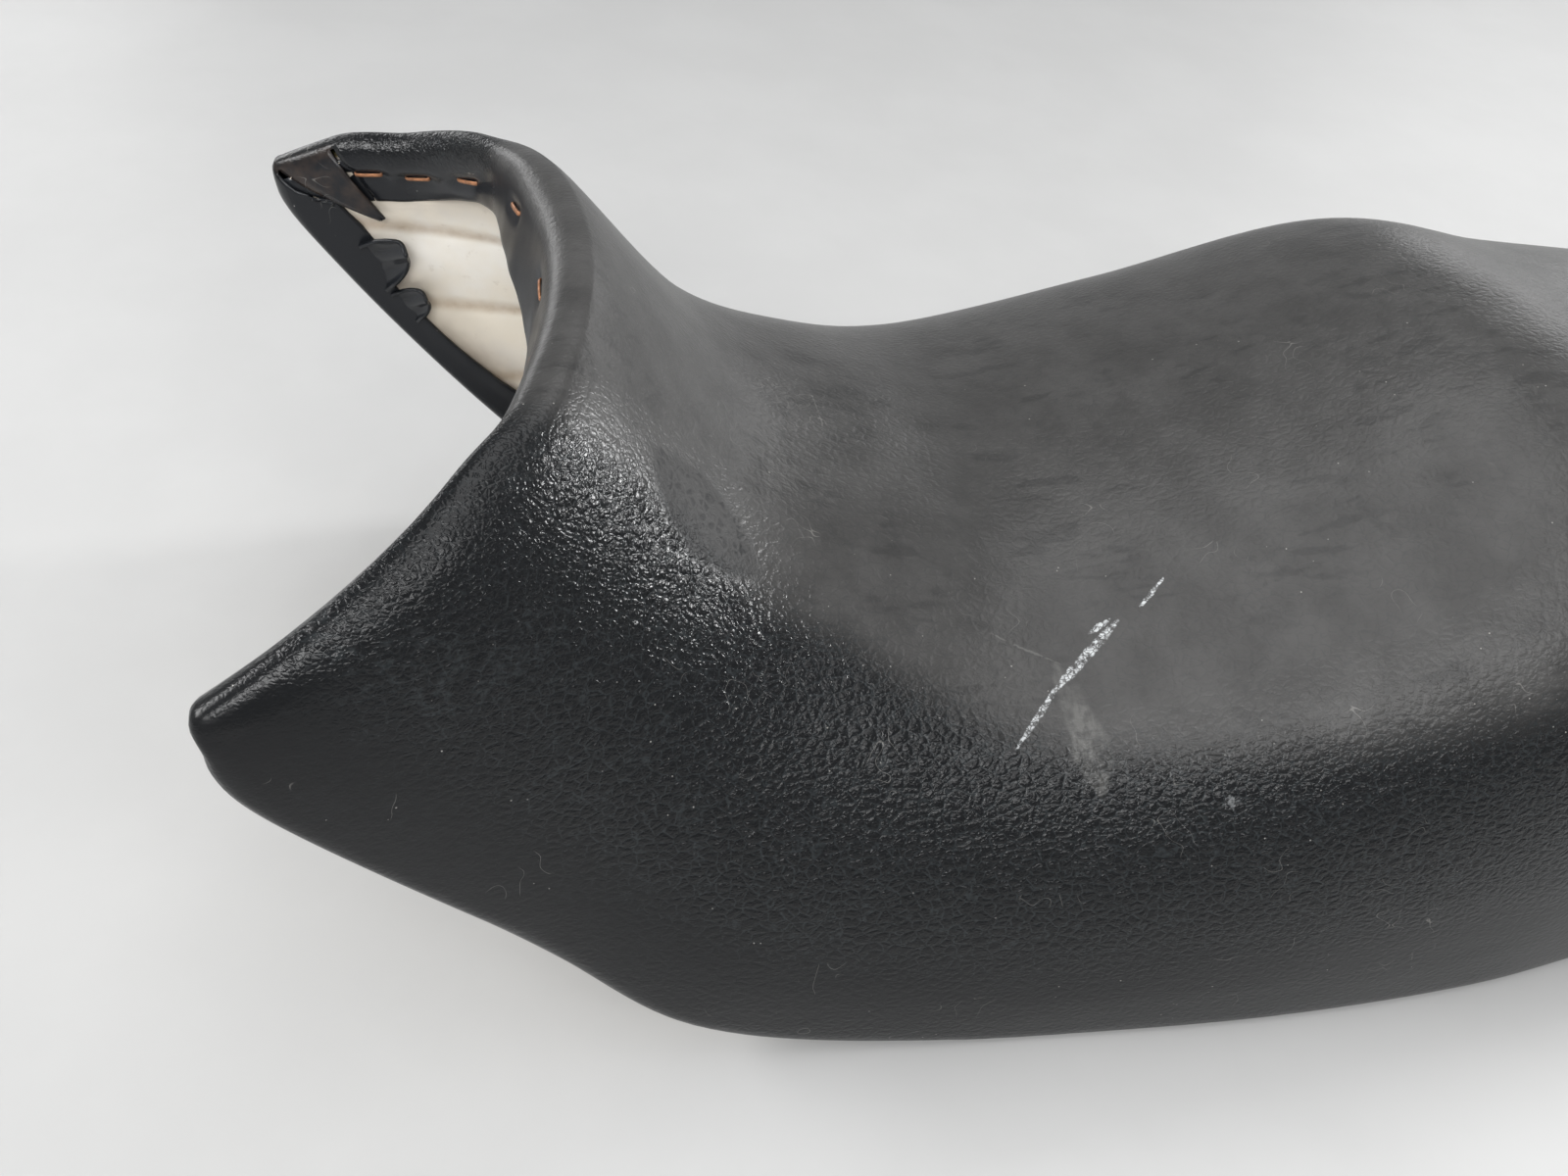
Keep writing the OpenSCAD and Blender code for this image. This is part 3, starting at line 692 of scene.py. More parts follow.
def skinLayers(s, t):
    # Above a line that runs down from the pommel and along the flanks the skin is a lighter grey, partly sun
    # fading
    #  and partly painted sheen of the overhead light; along the edge of the nose a lighter band is partly
    #  wear and partly painted reflection; and the grain grows from creases at the nose to cells
    line = np.interp(s, (0, 0.8, 1.6, 2.2, 2.7, 3.1, 3.9, 5, 6, 12),
                     (0.5, 0.36, 0.33, 0.38, 0.38, 0.42, 0.48, 0.54, 0.575, 0.59))
    side = np.abs(t)
    # This grey is partly fading and partly painted light: painted sheen on top, painted reflection along the
    # nose edge
    fadeAndSheen = np.maximum(ease(side, line + 0.05, line - 0.05), 0.9 * ease(s, 0.45, 0.12))
    return np.stack([fadeAndSheen, ease(side, 0.76, 0.9), ease(s, 0.2, 2.6) + 0 * t], -1).reshape(-1, 3)


def makeCover(material):
    c = coverCut
    s, t = placesWithin(c["sideRoll"], c["noseRoll"], c["tailRoll"])
    patch = cushionSkin(s, t)
    lip = aroundEdge(cushionSkin(*placesWithin(0, 0, 0)))
    rimS, rimT = aroundEdge(s), aroundEdge(t)
    rim = coverRing(rimS, rimT, lip)
    edge = np.concatenate([cushionSkin(rimS, rimT)[None], rim])
    normals = ringNormals(edge)[1:]
    # The cut edge of the hem waves a little, as sums of sines round the ring
    turn = np.arange(rim.shape[1]) * 2 * np.pi / rim.shape[1]
    wave = sum(np.sin(k * turn + 1.7 * k * k) / (1 + n) for n, k in enumerate((23, 37, 61, 97)))
    row = np.arange(len(rim))[:, None]
    lift = ease(row, c["rollSteps"], len(rim) - 1) * (0.35 + 0.3 * wave)
    curl = c["hemCurl"] * bump(rimS, 1.95, 0.45) * (rimT < 0)
    lift = lift + curl * ease(row, c["rollSteps"] + 3, len(rim) - 1)
    rim += normals * (lift * mm)[..., None]
    spots = stapleSpots(rimS, rimT)
    dentedByStaples(rim, normals, spots)
    flaps = [flapPatch(rim, normals, rimS, flap) for flap in hemFlaps]
    flaps += [tuckPatch(rim, normals, c["foldColumns"], -1),
              tuckPatch(rim, normals, c["columns"] - c["foldColumns"] - 1, c["columns"])[:, ::-1]]

    index = numbered(patch)
    ring = s.size + numbered(rim)
    ring = np.concatenate([aroundEdge(index)[None], ring])
    # Rows run outwards here, so the faces are turned round to keep their outer side outside
    strips = gridFaces(ring, True)[:, ::-1].reshape(len(ring) - 1, ring.shape[1], 4)
    # The pleats lie loose on both sides, so the hem is cut open there
    wide, fold = c["columns"], c["foldColumns"]
    whole = np.ones(strips.shape[:2], bool)
    whole[c["rollSteps"] // 2 + 1:, [fold - 1, wide - fold - 1]] = False
    whole[c["rollSteps"] - 3:, [-1, wide - 1]] = False
    faces = [gridFaces(index), strips[whole]]
    points = [patch.reshape(-1, 3), rim.reshape(-1, 3)]
    # 0 on the stretched skin, 1 at the end of the roll, 2 at the cut edge
    number = np.arange(1, len(rim) + 1)
    pastRoll = number - c["rollSteps"]
    rounds = np.where(pastRoll <= 0, number / c["rollSteps"], 1 + pastRoll / c["hemSteps"])
    turned = [np.zeros(s.size), np.repeat(rounds, rim.shape[1])]
    pleat = np.zeros(rim.shape[:2])
    pleat[c["rollSteps"] // 2:, :fold] = 1
    pleat[c["rollSteps"] // 2:, wide - fold:wide] = 1
    loose = [np.zeros(s.size), pleat.ravel()]
    layers = [skinLayers(s, t), skinLayers(np.tile(rimS, (len(rim), 1)), np.tile(rimT, (len(rim), 1)))]
    first = ring.max() + 1
    for flap in flaps:
        own = first + numbered(flap)
        faces.append(gridFaces(own))
        points.append(flap.reshape(-1, 3))
        turned.append(np.full(own.size, 2.0))
        loose.append(np.zeros(own.size))
        layers.append(np.tile((0.0, 1.0, 0.0), (own.size, 1)))
        first = own.max() + 1
    values = [np.concatenate(turned), np.concatenate(loose), *np.concatenate(layers).T]
    piece = makePiece("seatCoverVinyl", np.concatenate(points), np.concatenate(faces), material,
                      values=dict(zip(coverLayers, values)))
    addModifier(piece, "SOLIDIFY", thickness=c["vinyl"] * mm, offset=-1, use_even_offset=False)
    return piece, rim, normals, spots


def closedSlab(outer, inner):
    # Points and faces of two grids of one size, joined round their borders
    index = numbered(outer)
    other = index + index.size
    rim = np.stack([aroundEdge(index), aroundEdge(other)])
    faces = np.concatenate([gridFaces(index), gridFaces(other)[:, ::-1], gridFaces(rim, True)[:, ::-1]])
    return np.concatenate([outer.reshape(-1, 3), inner.reshape(-1, 3)]), faces


def joined(shapes):
    # Several lists of points and faces as one
    firsts = np.cumsum([0] + [len(points) for points, _ in shapes[:-1]])
    return (np.concatenate([points for points, _ in shapes]),
            np.concatenate([faces + first for (_, faces), first in zip(shapes, firsts)]))


def turnedRing(profile, place, count=48):
    # A closed profile of radius and height carried round an upright axis
    angle = np.linspace(0, 2 * np.pi, count, endpoint=False)[:, None]
    radius, height = profile[None, :, 0], profile[None, :, 1]
    points = np.stack([radius * np.cos(angle), radius * np.sin(angle), height + 0 * angle], -1) + place
    index = numbered(points)
    index = np.concatenate([index, index[:1]])
    return points.reshape(-1, 3), gridFaces(index, True)


def roundedProfile(inner, outer, low, high, bevel):
    # A rectangle with its lower outer corner and its lower inner corner rounded by a quarter sine
    a = np.linspace(0, np.pi / 2, 5)
    outside = np.stack([outer - bevel + bevel * np.sin(a), low + bevel - bevel * np.cos(a)], -1)
    inside = np.stack([inner + bevel - bevel * np.cos(a), low + bevel - bevel * np.sin(a)], -1)
    return np.concatenate([outside, [[outer, high], [inner, high]], inside])


# Moulded pan. Lengths in millimetres
panShape = {
    "clear": 0.2, "wall": 3.0,
    "backFromNose": 4.5, "backFromSide": 3.5, "backFromTail": 4.0,   # its edge, in from the cover's
    "firstStep": 130, "stepHeight": 29, "swell": 1.7, "stepsEnd": 4.2,
    "ribDrop": 8, "ribWidth": 60, "ribWall": 3.2, "ribs": 4,
    "padMargin": 1.0, "nutPad": 9, "nutHole": 4.5, "stemHole": 4.15,
    "flange": (9, 17),                              # the rows of the cover that lie on it
    "flangeFrom": 1.5, "flangeTo": 4.3,
}


def swollen(z):
    # Between two steps the wall swells as the root of a parabola, so that each step is a crease
    c = panShape
    share = np.mod((c["firstStep"] * mm - z) / (c["stepHeight"] * mm), 1)
    return np.sqrt(4 * share * (1 - share))


def panGrid():
    # The pan's two faces, a wall apart, with the inner one swollen between its steps, and the
    # distance of each point from the pan's edge
    c = panShape
    s, t = placesWithin(c["backFromSide"], c["backFromNose"], c["backFromTail"])
    outer = panSkin(s, t, c["clear"] * mm)
    inner = panSkin(s, t, (c["clear"] + c["wall"]) * mm)
    edge = np.minimum(np.minimum(runFrom(inner, 0), runFrom(inner, 0, True)),
                      np.minimum(runFrom(inner, 1), runFrom(inner, 1, True)))
    swell = c["swell"] * swollen(inner[..., 2]) * ease(edge, 0.010, 0.018)
    swell = swell * ease(s, c["stepsEnd"], c["stepsEnd"] - 1)
    inner = inner - facing(panSkin, s, t) * (swell * mm)[..., None]
    return outer, inner, edge


def panPads():
    # Rings under the bolts and bumpers, at the level that the tongue's plate has in the frame
    c = panShape
    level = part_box("front_tongue")[1][2]
    top = (seatShape["panHeight"] - c["clear"] - c["wall"] + 1) * mm
    pads = []
    for name in ("tongue_washers", "latch_washers"):
        low, high = (np.array(v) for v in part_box(name))
        radius = (high[2] - low[2]) * 4    # a washer's radius is four times its thickness
        for x in (low[0] + radius, high[0] - radius):
            for y in (low[1] + radius, high[1] - radius):
                profile = roundedProfile(c["nutHole"] * mm, c["nutPad"] * mm, level, top, 0.5 * mm)
                pads.append(turnedRing(profile, (x, y, 0)))
    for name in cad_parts:
        if name.endswith("bumper"):
            low, high = (np.array(v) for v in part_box(name))
            radius = (high[0] - low[0]) / 2 + c["padMargin"] * mm
            profile = roundedProfile(c["stemHole"] * mm, radius, level, top, 0.8 * mm)
            pads.append(turnedRing(profile, ((low[0] + high[0]) / 2, (low[1] + high[1]) / 2, 0)))
    return pads


def panRibs():
    # Cross ribs under the flat of the pan, thinner towards their lower edge and round at their ends
    c = panShape
    top = (seatShape["panHeight"] - c["clear"] - c["wall"] + 0.5) * mm
    latch = (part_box("latch_plate")[0][1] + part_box("latch_plate")[1][1]) / 2
    crest = (seatShape["crestPlace"] - seatShape["length"] / 2) * mm
    around = np.linspace(0, 2 * np.pi, 40, endpoint=False)[None]
    down = np.linspace(0, 1, 9)[:, None]
    width = c["ribWidth"] / 2 * mm * (1 - 0.12 * down ** 3)
    wall = c["ribWall"] / 2 * mm * (1 - 0.35 * down) * np.sqrt(1 - 0.9 * ease(down, 0.85, 1.0))
    ribs = []
    for y in mix(crest, latch, np.arange(c["ribs"]) / c["ribs"]):
        x = width * np.sign(np.cos(around)) * np.abs(np.cos(around)) ** 0.25
        points = np.stack([x, y + wall * np.sin(around), top - c["ribDrop"] * mm * down + 0 * around], -1)
        index = numbered(points)
        caps = [(points.mean(1)[0], index[0]), (points.mean(1)[-1], index[-1])]
        flat, faces = points.reshape(-1, 3), gridFaces(index, True)[:, ::-1]
        # Each end closes on one middle point
        for k, (middle, border) in enumerate(caps):
            hub = len(flat)
            flat = np.concatenate([flat, middle[None]])
            middles = np.full(len(border), hub)
            fan = np.stack([border, np.roll(border, -1), middles, middles], -1)
            faces = np.concatenate([faces, fan if k == 0 else fan[:, [1, 0, 2, 3]]])
        ribs.append((flat, faces))
    return ribs


def panFlange(rings, normals):
    # The front edge turns down behind the hem, a constant way inside the vinyl
    c = panShape
    wide = coverCut["columns"]
    rows = slice(*c["flange"])
    columns = slice(round(wide * 0.22), round(wide * 0.78))
    hem, out = rings[rows, columns], normals[rows, columns]
    return closedSlab((hem - out * c["flangeTo"] * mm)[::-1], (hem - out * c["flangeFrom"] * mm)[::-1])


def makePan(material, rings, normals):
    # The shell, its front flange, pads and ribs in one mesh, with its edges eased by a bevel
    outer, inner, edge = panGrid()
    points, faces = joined([closedSlab(outer, inner), panFlange(rings, normals), *panPads(), *panRibs()])
    nearEdge = np.zeros(len(points))
    nearEdge[:2 * edge.size] = np.tile(ease(edge, 0.030, 0.010).ravel(), 2)
    faces = [f[:3] if f[2] == f[3] else f for f in faces.tolist()]
    piece = makePiece("seatPanShell", points, faces, material, values={"nearEdge": nearEdge})
    addModifier(piece, "BEVEL", width=0.5 * mm, segments=2, limit_method="ANGLE",
                angle_limit=math.radians(50))
    return piece


# Moulded foam: where it ends in s and t, and how far it lies under the skin and over the pan, in millimetres
foamCut = {"nose": 0.35, "tail": 0.08, "side": 0.95, "underSkin": 1.7, "overPan": 0.1}


def makeFoam(material):
    # A closed crowned pad between the vinyl's inner face and the pan's outer face
    c = foamCut
    s = np.linspace(c["nose"], lastRib - c["tail"], 120)[:, None]
    t = np.linspace(-c["side"], c["side"], 90)[None]
    points, faces = closedSlab(cushionSkin(s, t, c["underSkin"] * mm), panSkin(s, t, -c["overPan"] * mm))
    return makePiece("foamCushionBody", points, faces, material)


def makeStaples(name, material, rings, line):
    # A flat wire swept along five straight stretches: leg, bend, crown, bend, leg
    c = stapleCut
    middle, along, up = stapleFrames(rings, line)
    half, high, bend = c["crown"] / 2, c["proud"], 0.5
    left = np.array([[-half, -c["leg"]], [-half, high - bend], [-half + 0.15, high - 0.15],
                     [-half + bend, high], [-half / 3, high + 0.06]])
    path = np.concatenate([left, left[::-1] * (-1, 1)])
    forward = unit(np.gradient(path, axis=0))
    turn = np.linspace(0, 2 * np.pi, 8, endpoint=False) + np.pi / 8
    wide, thick = np.cos(turn) * c["wire"] / 2, np.sin(turn) * c["thickness"] / 2
    x = path[:, None, 0] - forward[:, None, 1] * thick
    z = path[:, None, 1] + forward[:, None, 0] * thick
    side = np.cross(up, along)
    shares = (x, z, wide + 0 * x)
    points = middle[:, None, None] + total(
        v[:, None, None] * share[None, ..., None] * mm for v, share in zip((along, up, side), shares))
    # Each staple's wire is closed with a flat face at either end
    faces = []
    for own in numbered(points):
        faces += gridFaces(own, True).tolist() + [own[0].tolist(), own[-1, ::-1].tolist()]
    return makePiece(name, points, faces, material)


# Lamps: place, what it is aimed at, width and height in metres, and power in watts
lamps = {
    "overhead": ((0.3, 0.08, 1.35), (0.3, 0.08, 0.0), 2.1, 0.8, 12.2),
    "frontWindow": ((0.0, -1.5, 0.93), (0, -0.25, 0.1), 0.8, 0.34, 12),
    "leftWindow": ((1.12, -0.62, 0.94), (0.1, -0.28, 0.1), 0.8, 0.2, 8.6),
    "sideStrip": ((1.06, 0.15, 1.02), (0.1, -0.1, 0.1), 0.7, 0.08, 3.4),
    "tailLamp": ((-0.27, 1.7, 0.64), (0.05, -0.25, 0.17), 0.24, 0.2, 21),
    "farWindow": ((-1.3, 1.25, 0.6), (0, 0, 0.15), 0.8, 0.4, 2.4),
    "farFront": ((-1.4, -1.0, 0.38), (0, -0.25, 0.16), 0.8, 0.3, 2.6),
}
# The background's colour, the dim light that it gives, and the floor, which is plain further out
studio = {
    "shown": (0.72, 0.73, 0.73), "mirrored": 0.5, "light": (0.8, 0.82, 0.85), "strength": 0.2,
    "floorReach": 3.0, "floorGap": 0.0005, "tableTo": 0.85, "plainFrom": 1.9,
}


def raysShown(wire):
    # 1 for what the camera sees, and a share of what is mirrored
    camera = wire.make("ShaderNodeLightPath")
    glossy = wire.make("ShaderNodeLightPath", output=3)
    return camera + glossy * studio["mirrored"]


def makeFloor():
    # A pale table that passes into the plain background far away from the seat
    reach = studio["floorReach"]
    corners = np.array([[-1, -1, 0], [1, -1, 0], [1, 1, 0], [-1, 1, 0]])
    points = corners * reach + (0, 0, cadBox[0][2] - studio["floorGap"])
    floor = makePiece("floor", points, np.array([[0, 1, 2, 3]]), smooth=False)
    material, wire, place = newMaterial("paleTable")
    toneShare = place.noise(9, 4, 0.6).step(0.35, 0.7)
    colour = toneShare.tint((0.585, 0.585, 0.58), (0.61, 0.61, 0.605))
    table = wire.make("ShaderNodeBsdfPrincipled", None, {"Base Color": colour, "Roughness": 0.45})
    plain = wire.make("ShaderNodeEmission", None, {"Color": (*studio["shown"], 1)})
    away = 1 - place.nearness((0, 0, 0), studio["tableTo"], studio["plainFrom"])
    share = (away * raysShown(wire)).clamped()
    wire.make("ShaderNodeOutputMaterial", None,
              {"Surface": wire.make("ShaderNodeMixShader", None, {0: share, 1: table, 2: plain})})
    floor.data.materials.append(material)


def makeLight(name, place, aim, width, height, power):
    data = bpy.data.lights.new(name, "AREA")
    data.shape = "RECTANGLE"
    data.size, data.size_y, data.energy = width, height, power
    light = bpy.data.objects.new(name, data)
    bpy.context.scene.collection.objects.link(light)
    light.location = place
    light.rotation_euler = (Vector(aim) - Vector(place)).to_track_quat("-Z", "Y").to_euler()


def makeLights():
    for name, (place, aim, width, height, power) in lamps.items():
        makeLight(name, place, aim, width, height, power)
    world = bpy.data.worlds.new("studio")
    world.use_nodes = True
    world.node_tree.nodes.clear()
    wire = Wire(world.node_tree)
    through = wire.make("ShaderNodeLightPath", output=6)
    shown = wire.make("ShaderNodeBackground", None, {"Color": (*studio["shown"], 1), "Strength": 1.0})
    plain = wire.make("ShaderNodeBackground", None,
                      {"Color": (*studio["light"], 1), "Strength": studio["strength"]})
    share = (through + raysShown(wire)).clamped()
    wire.make("ShaderNodeOutputWorld", None,
              {"Surface": wire.make("ShaderNodeMixShader", None, {0: share, 1: plain, 2: shown})})
    bpy.context.scene.world = world


# Looks of the vinyl. Sizes in metres
vinylLook = {
    # The faded greys are partly fading and partly painted sheen and reflection
    "black": (0.0032, 0.0037, 0.0046), "fadeAndSheen": (0.067, 0.0655, 0.064), "net": (0.020, 0.0235, 0.0255),
    "hem": (0.012, 0.0135, 0.0165), "pleat": (0.042, 0.031, 0.026),
    "scuff": (0.62, 0.64, 0.65), "haze": (0.17, 0.168, 0.16), "dust": (0.34, 0.33, 0.31),
    "patchyFadeAndSheen": (0.048, 0.0468, 0.0456), "gloss": 0.28,
    "pebble": 0.0026, "pebbleDepth": 0.00017, "grain": 0.0011, "grainDepth": 0.00007,
    "crease": 0.0045, "creaseDepth": 0.00016, "fibre": 0.0005, "fibreDepth": 0.00002,
    "scratch": [((0.1008, -0.1683, 0.095), (0.0856, -0.1521, 0.1056), 0.0009),
                ((0.0890, -0.1555, 0.1035), (0.0744, -0.1352, 0.113), 0.0014),
                ((0.0764, -0.1436, 0.1108), (0.0737, -0.1370, 0.1129), 0.0009),
                ((0.0726, -0.1292, 0.1151), (0.0656, -0.1204, 0.1194), 0.0006)],
    "hazeStrokes": [((0.0830, -0.1540, 0.1065), (0.1040, -0.1485, 0.0935), 0.004),
                    ((0.0930, -0.1500, 0.1010), (0.1110, -0.1470, 0.0880), 0.0055)],
    "crossing": ((0.0735, -0.1703, 0.1103), (0.083, -0.1528, 0.1067), 0.0004),
    "star": (0.1179, -0.1132, 0.088),
    "darkerPatch": ((0.0560, -0.2590, 0.1585), (0.0680, -0.2330, 0.1300), 0.012),
}


def vinylMaterial():
    # Black vinyl, lighter grey on top for fading and as painted sheen, with its grain, creases, painted
    # crease shade, dust and marks
    look = vinylLook
    material, wire, place = newMaterial("blackVinyl")
    turned, pleat, fadeAndSheen, low, celled = (wire.attribute(name) for name in coverLayers)
    skin = turned.step(1.0, 0.55)
    grainy = skin * (1 - 0.75 * low)
    # Pebbles inside a wandering net of thin lines, with a finer net over them
    wander = place.moved(place.noiseVector(150), 0.0026)
    edge = wander.mapped((1, 0.76, 1)).cells(1 / look["pebble"], "DISTANCE_TO_EDGE")
    ripple = place.moved(place.noiseVector(480), 0.0012)
    fineEdge = ripple.mapped((1, 0.72, 1)).cells(1 / look["grain"], "DISTANCE_TO_EDGE")
    fibre = place.noise(1 / look["fibre"], 2, 0.6)
    # Creases are the lines where a drawn-out noise passes its middle value
    drawn = wander.mapped((1, 0.22, 1)).noise(1 / look["crease"], 2, 0.55) - 0.5
    crease = drawn.math("ABSOLUTE", drawn).step(0.05, 0.0) * place.noise(45, 1).step(0.42, 0.6)
    crease = crease * (1.35 - celled) * (1 - 0.6 * fadeAndSheen)
    softWaves = place.mapped((1, 0.35, 1)).noise(38, 2, 0.5)
    lessGrainOnTop = 1 - 0.62 * fadeAndSheen
    # A patch beside the pommel that is darker and rougher
    darkerPatch = wander.stroke(*look["darkerPatch"])
    deep = softWaves.bump(0.0016, 0.3)
    deep = (crease * skin).bump(look["creaseDepth"], -1.0, deep)
    pebbles = edge.step(0.0, 0.36) * lessGrainOnTop * grainy * (0.4 + 0.6 * celled)
    deep = pebbles.bump(look["pebbleDepth"], 1.0, deep)
    deep = (fineEdge.step(0.0, 0.3) * lessGrainOnTop * grainy).bump(look["grainDepth"], 1.0, deep)
    deep = (fibre * (0.4 + 0.6 * skin)).bump(look["fibreDepth"], 1.0, deep)

    patchy = place.noise(55, 3, 0.6)
    # The top's patchy grey: partly fading, partly painted sheen of the overhead light
    top = patchy.step(0.3, 0.7).tint(look["patchyFadeAndSheen"], look["fadeAndSheen"])
    # Some pebbles are darker at random, and in the patch beside the pommel the grey is taken back towards
    # black in blots
    darkerPebbles = edge.step(0.05, 0.3) * wander.noise(120, 1).step(0.5, 0.66)
    blots = edge.step(0.04, 0.2) * wander.noise(260, 2, 0.6).step(0.42, 0.58)
    top = (darkerPebbles * 0.12 + darkerPatch * (0.3 + 0.5 * blots)).tint(top, look["black"])
    # Painted shade: darker streaks along one side of the fine creases on the grey top
    creaseShade = drawn.step(0.02, 0.14) * place.noise(33, 2).step(0.42, 0.6)
    top = (creaseShade * 0.28).tint(top, look["black"])
    colour = fadeAndSheen.tint(look["black"], top)
    lines = edge.step(0.085, 0.02) * (0.15 + 0.85 * celled) + 0.2 * fineEdge.step(0.1, 0.03)
    lines = (lines + 0.6 * crease).clamped()
    lines = lines * grainy * (1 - 0.75 * fadeAndSheen) * (0.25 + 0.75 * place.noise(700, 2, 0.6).step(0.35, 0.65))
    colour = lines.tint(colour, look["net"])
    colour = skin.tint(look["hem"], colour)
    colour = (pleat * place.noise(150, 3, 0.6).step(0.3, 0.75)).tint(colour, look["pleat"])
    # Marks: a haze with streaks, the scratch broken up by the grain, a small star, dust and hairs
    streaks = place.mapped((0.25, 1, 0.4)).noise(900, 3, 0.6).step(0.25, 0.75)
    haze = total(wander.stroke(*one) for one in look["hazeStrokes"])
    haze = haze * (0.35 + 0.65 * streaks) * place.noise(240, 3, 0.6).step(0.25, 0.65)
    haze = (haze + ripple.stroke(*look["crossing"]) * 0.8).clamped()
    colour = (haze * 0.5).tint(colour, look["haze"])
    scuffed = total(ripple.stroke(*one) for one in look["scratch"])
    scuffed = scuffed.clamped() * fineEdge.step(0.0, 0.14) * place.noise(500, 3, 0.7).step(0.34, 0.62)
    starScuff = place.moved(place.noiseVector(900), 0.006).nearness(look["star"], 0.0006, 0.002) * 0.2
    colour = (scuffed + starScuff).clamped().tint(colour, look["scuff"])
    specks = place.cells(230).step(0.06, 0.035) * place.noise(31, 1).step(0.5, 0.6)
    thread = place.noise(160, 0) - 0.5
    hairs = thread.math("ABSOLUTE", thread).step(0.006, 0.002) * place.noise(57, 0).step(0.7, 0.74)
    colour = (specks * 0.8 + hairs * 0.3).clamped().tint(colour, look["dust"])
    roughness = 0.20 + 0.07 * fadeAndSheen + 0.1 * fibre + 0.3 * scuffed + 0.22 * darkerPatch
    surfaceFinish(wire, {"Base Color": colour, "Roughness": roughness,
                         "Specular IOR Level": look["gloss"], "Normal": deep})
    return material


def plasticMaterial():
    # Cream moulded plastic, with a brown line in each step's crease, darker and browner towards its edge
    # under the hem
    material, wire, place = newMaterial("creamPlastic")
    nearEdge = wire.attribute("nearEdge")
    wavy = place.part("Z") + (place.noise(22, 1) - 0.5) * 0.0035
    height = (panShape["firstStep"] * mm - wavy) * (1000 / panShape["stepHeight"])
    share = height.math("FRACT", height)
    inArch = place.part("Y").step(-0.20, -0.27)
    line = (share.step(0.10, 0.0) + share.step(0.82, 1.0)).clamped() * inArch
    cloud = place.noise(35, 3, 0.6)
    mottle = place.noise(260, 3, 0.6)
    colour = cloud.step(0.35, 0.7).tint((0.92, 0.85, 0.73), (0.97, 0.94, 0.88))
    colour = (line * (0.25 + 0.5 * mottle)).tint(colour, (0.42, 0.29, 0.17))
    # Darker and browner towards the pan's edge, under the hem and its loose flaps
    toneShare = nearEdge * (0.35 + 0.65 * cloud.step(0.3, 0.65))
    colour = (toneShare * 0.75).tint(colour, (0.33, 0.25, 0.17))
    colour = (mottle.step(0.62, 0.75) * 0.16).tint(colour, (0.45, 0.36, 0.25))
    uneven = place.noise(900, 2, 0.5) * 0.5 + cloud
    surfaceFinish(wire, {"Base Color": colour, "Roughness": 0.36 + 0.14 * mottle,
                         "Normal": uneven.bump(0.00012, 0.6)})
    return material


def foamMaterial():
    # Yellowed foam with fine open pores
    material, wire, place = newMaterial("mouldedFoam")
    pores = place.moved(place.noiseVector(300), 0.002).cells(700).step(0.1, 0.45)
    age = place.noise(14, 3, 0.6)
    colour = age.tint((0.72, 0.60, 0.30), (0.60, 0.46, 0.20))
    # The pores are painted darker: painted shade inside them
    colour = ((1 - pores) * 0.5).tint(colour, (0.34, 0.26, 0.12))
    surfaceFinish(wire, {"Base Color": colour, "Roughness": 0.85 + 0.1 * pores,
                         "Normal": pores.bump(0.0004, 0.7)})
    return material


def stapleMaterial():
    # Lacquered copper wire that has dulled in places
    material, wire, place = newMaterial("copperWire")
    dull = place.noise(520, 3, 0.6).step(0.35, 0.7)
    colour = dull.tint((0.52, 0.24, 0.12), (0.27, 0.13, 0.07))
    surfaceFinish(wire, {"Base Color": colour, "Metallic": 0.75 - 0.3 * dull, "Roughness": 0.32 + 0.3 * dull,
                         "Normal": place.noise(1800, 2).bump(0.00005, 0.6)})
    return material


def steelMaterial():
    # Black powder coat: orange peel, dust, and rust spots where it has chipped
    material, wire, place = newMaterial("powderCoatedSteel")
    peel = place.noise(650, 2, 0.5)
    chips = place.moved(place.noiseVector(500), 0.003).cells(95).step(0.16, 0.08)
    chips = chips * place.noise(40, 1).step(0.5, 0.6)
    dusty = place.noise(60, 4, 0.65).step(0.4, 0.75)
    colour = (dusty * 0.35).tint((0.021, 0.022, 0.024), (0.085, 0.08, 0.072))
    colour = chips.tint(colour, (0.20, 0.085, 0.04))
    surfaceFinish(wire, {"Base Color": colour, "Roughness": 0.42 + 0.2 * dusty + 0.15 * chips,
                         "Normal": (peel - 0.8 * chips).bump(0.00012, 0.7)})
    return material


def zincMaterial(name, bright, dark, strokes):
    # Plated steel: fine turning marks, a cloudy dull film and a few dark spots
    material, wire, place = newMaterial(name)
    marks = place.mapped(strokes).noise(1500, 2, 0.6)
    film = place.noise(120, 3, 0.6).step(0.35, 0.7)
    spots = place.noise(420, 3, 0.6).step(0.64, 0.72)
    colour = film.tint(bright, dark)
    colour = (spots * 0.6).tint(colour, (0.16, 0.13, 0.10))
    surfaceFinish(wire, {"Base Color": colour, "Metallic": 0.95 - 0.5 * spots,
                         "Roughness": 0.26 + 0.16 * film + 0.1 * marks + 0.2 * spots,
                         "Normal": marks.bump(0.00005, 0.6)})
    return material


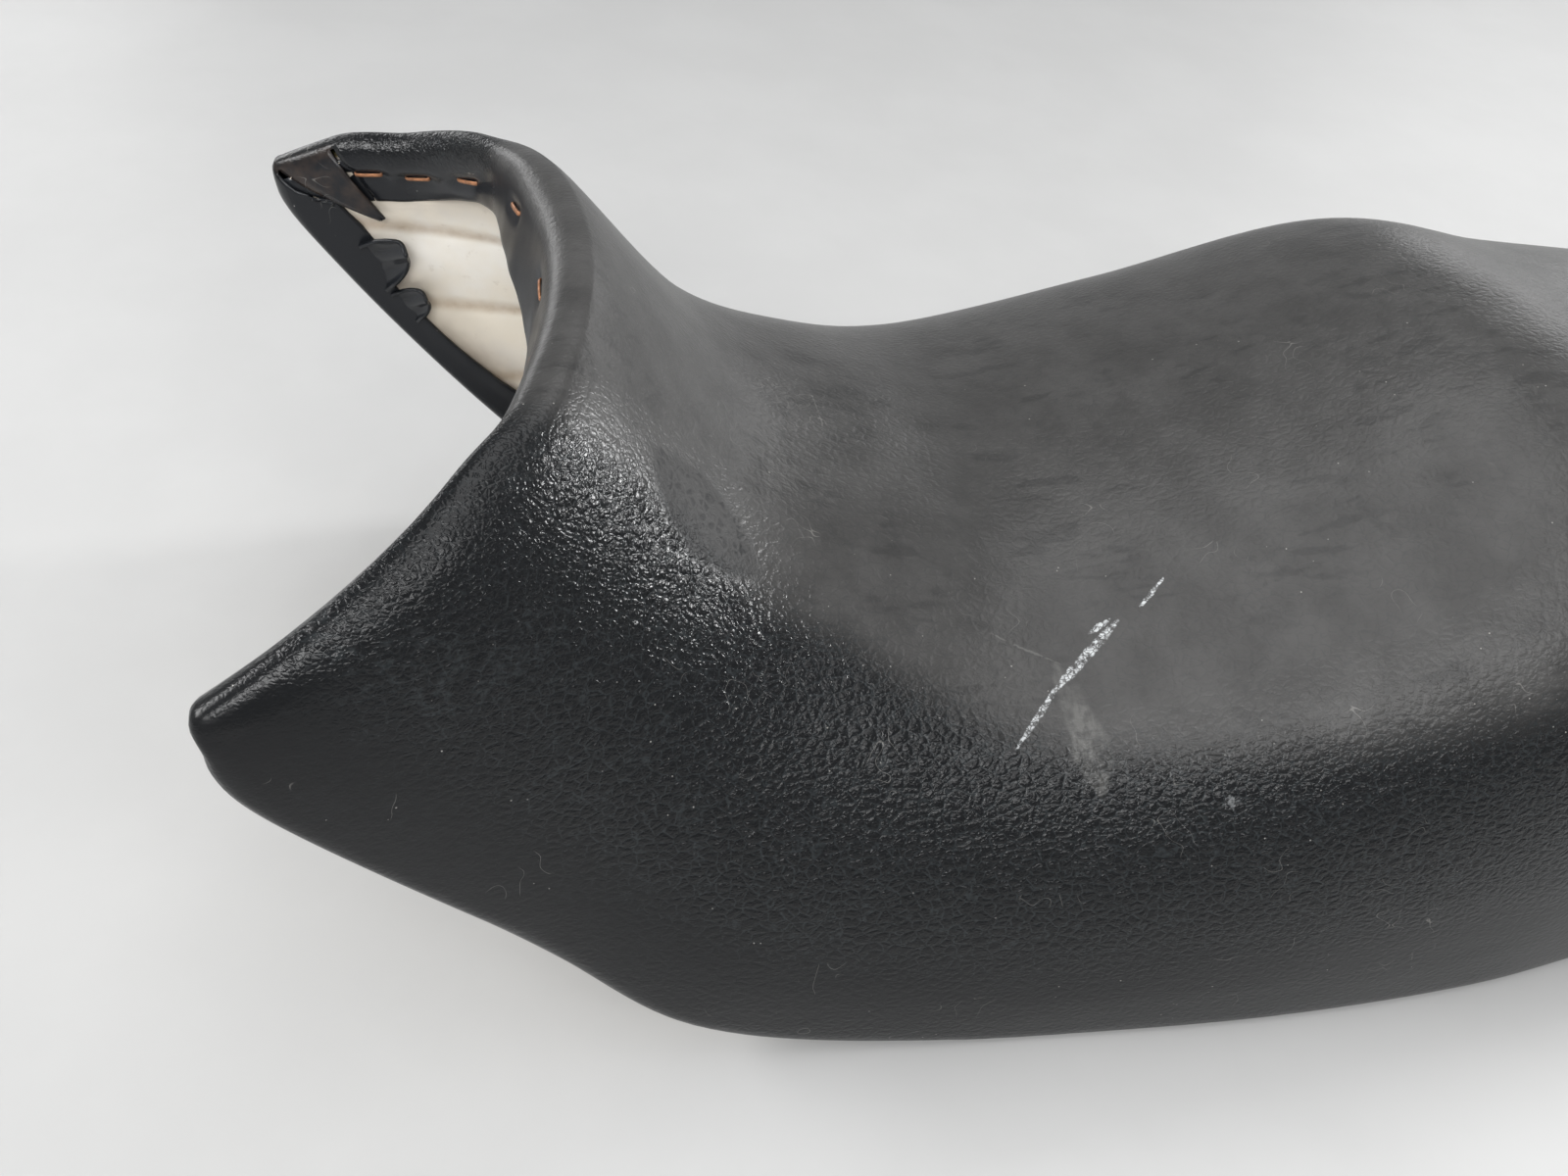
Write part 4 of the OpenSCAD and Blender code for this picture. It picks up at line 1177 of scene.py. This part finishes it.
def rubberMaterial():
    # Moulded rubber with a grey bloom and fine pits
    material, wire, place = newMaterial("blackRubber")
    bloom = place.noise(70, 4, 0.65).step(0.35, 0.75)
    pits = place.cells(900).step(0.1, 0.4)
    colour = (bloom * 0.5).tint((0.014, 0.014, 0.015), (0.055, 0.054, 0.052))
    surfaceFinish(wire, {"Base Color": colour, "Roughness": 0.62 + 0.2 * bloom,
                         "Normal": pits.bump(0.0001, 0.6)})
    return material


cover, hemRings, hemNormals, stapleLines = makeCover(vinylMaterial())
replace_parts(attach(cover, "root"), "seat_cover")
print("cover made")
foam = makeFoam(foamMaterial())
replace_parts(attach(foam, "root"), "foam_cushion")
pan = makePan(plasticMaterial(), hemRings, hemNormals)
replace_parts(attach(pan, "root"), "seat_pan")
copper = stapleMaterial()
for node, line in stapleLines.items():
    first, second = node.split("_")
    staples = makeStaples(first + second.title() + "Wire", copper, hemRings, line)
    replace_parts(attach(staples, "root"), node)
print("foam, pan and staples made")

# The brackets, bolts and bumpers keep their solids, with rounded edges and their own finishes
hardware = {
    "front_tongue": "steel", "latch_plate": "steel", "latch_striker": "rod",
    "tongue_bolts": "zinc", "tongue_washers": "zinc", "tongue_tee_nuts": "zinc",
    "latch_bolts": "zinc", "latch_washers": "zinc", "latch_tee_nuts": "zinc",
}
finishes = {
    "steel": steelMaterial(), "rubber": rubberMaterial(),
    "rod": zincMaterial("bareSteelRod", (0.56, 0.56, 0.57), (0.34, 0.32, 0.30), (0.25, 1, 0.25)),
    "zinc": zincMaterial("zincPlate", (0.66, 0.67, 0.68), (0.46, 0.46, 0.47), (1, 1, 0.2)),
}
roundings = {"steel": 0.5, "zinc": 0.25, "rod": 0.3, "rubber": 0.8}


def finishNode(name, finish):
    piece = bpy.data.objects[name]
    for slot in piece.material_slots:
        slot.material = finishes[finish]
    addModifier(piece, "WELD", merge_threshold=0.00001)
    addModifier(piece, "BEVEL", width=roundings[finish] * mm, segments=2, limit_method="ANGLE",
                angle_limit=math.radians(40))


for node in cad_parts:
    if node.endswith("bumper"):
        finishNode(node, "rubber")
    elif node in hardware:
        finishNode(node, hardware[node])
print("hardware finished")
makeFloor()
makeLights()
bpy.context.scene.view_settings.view_transform = "Standard"
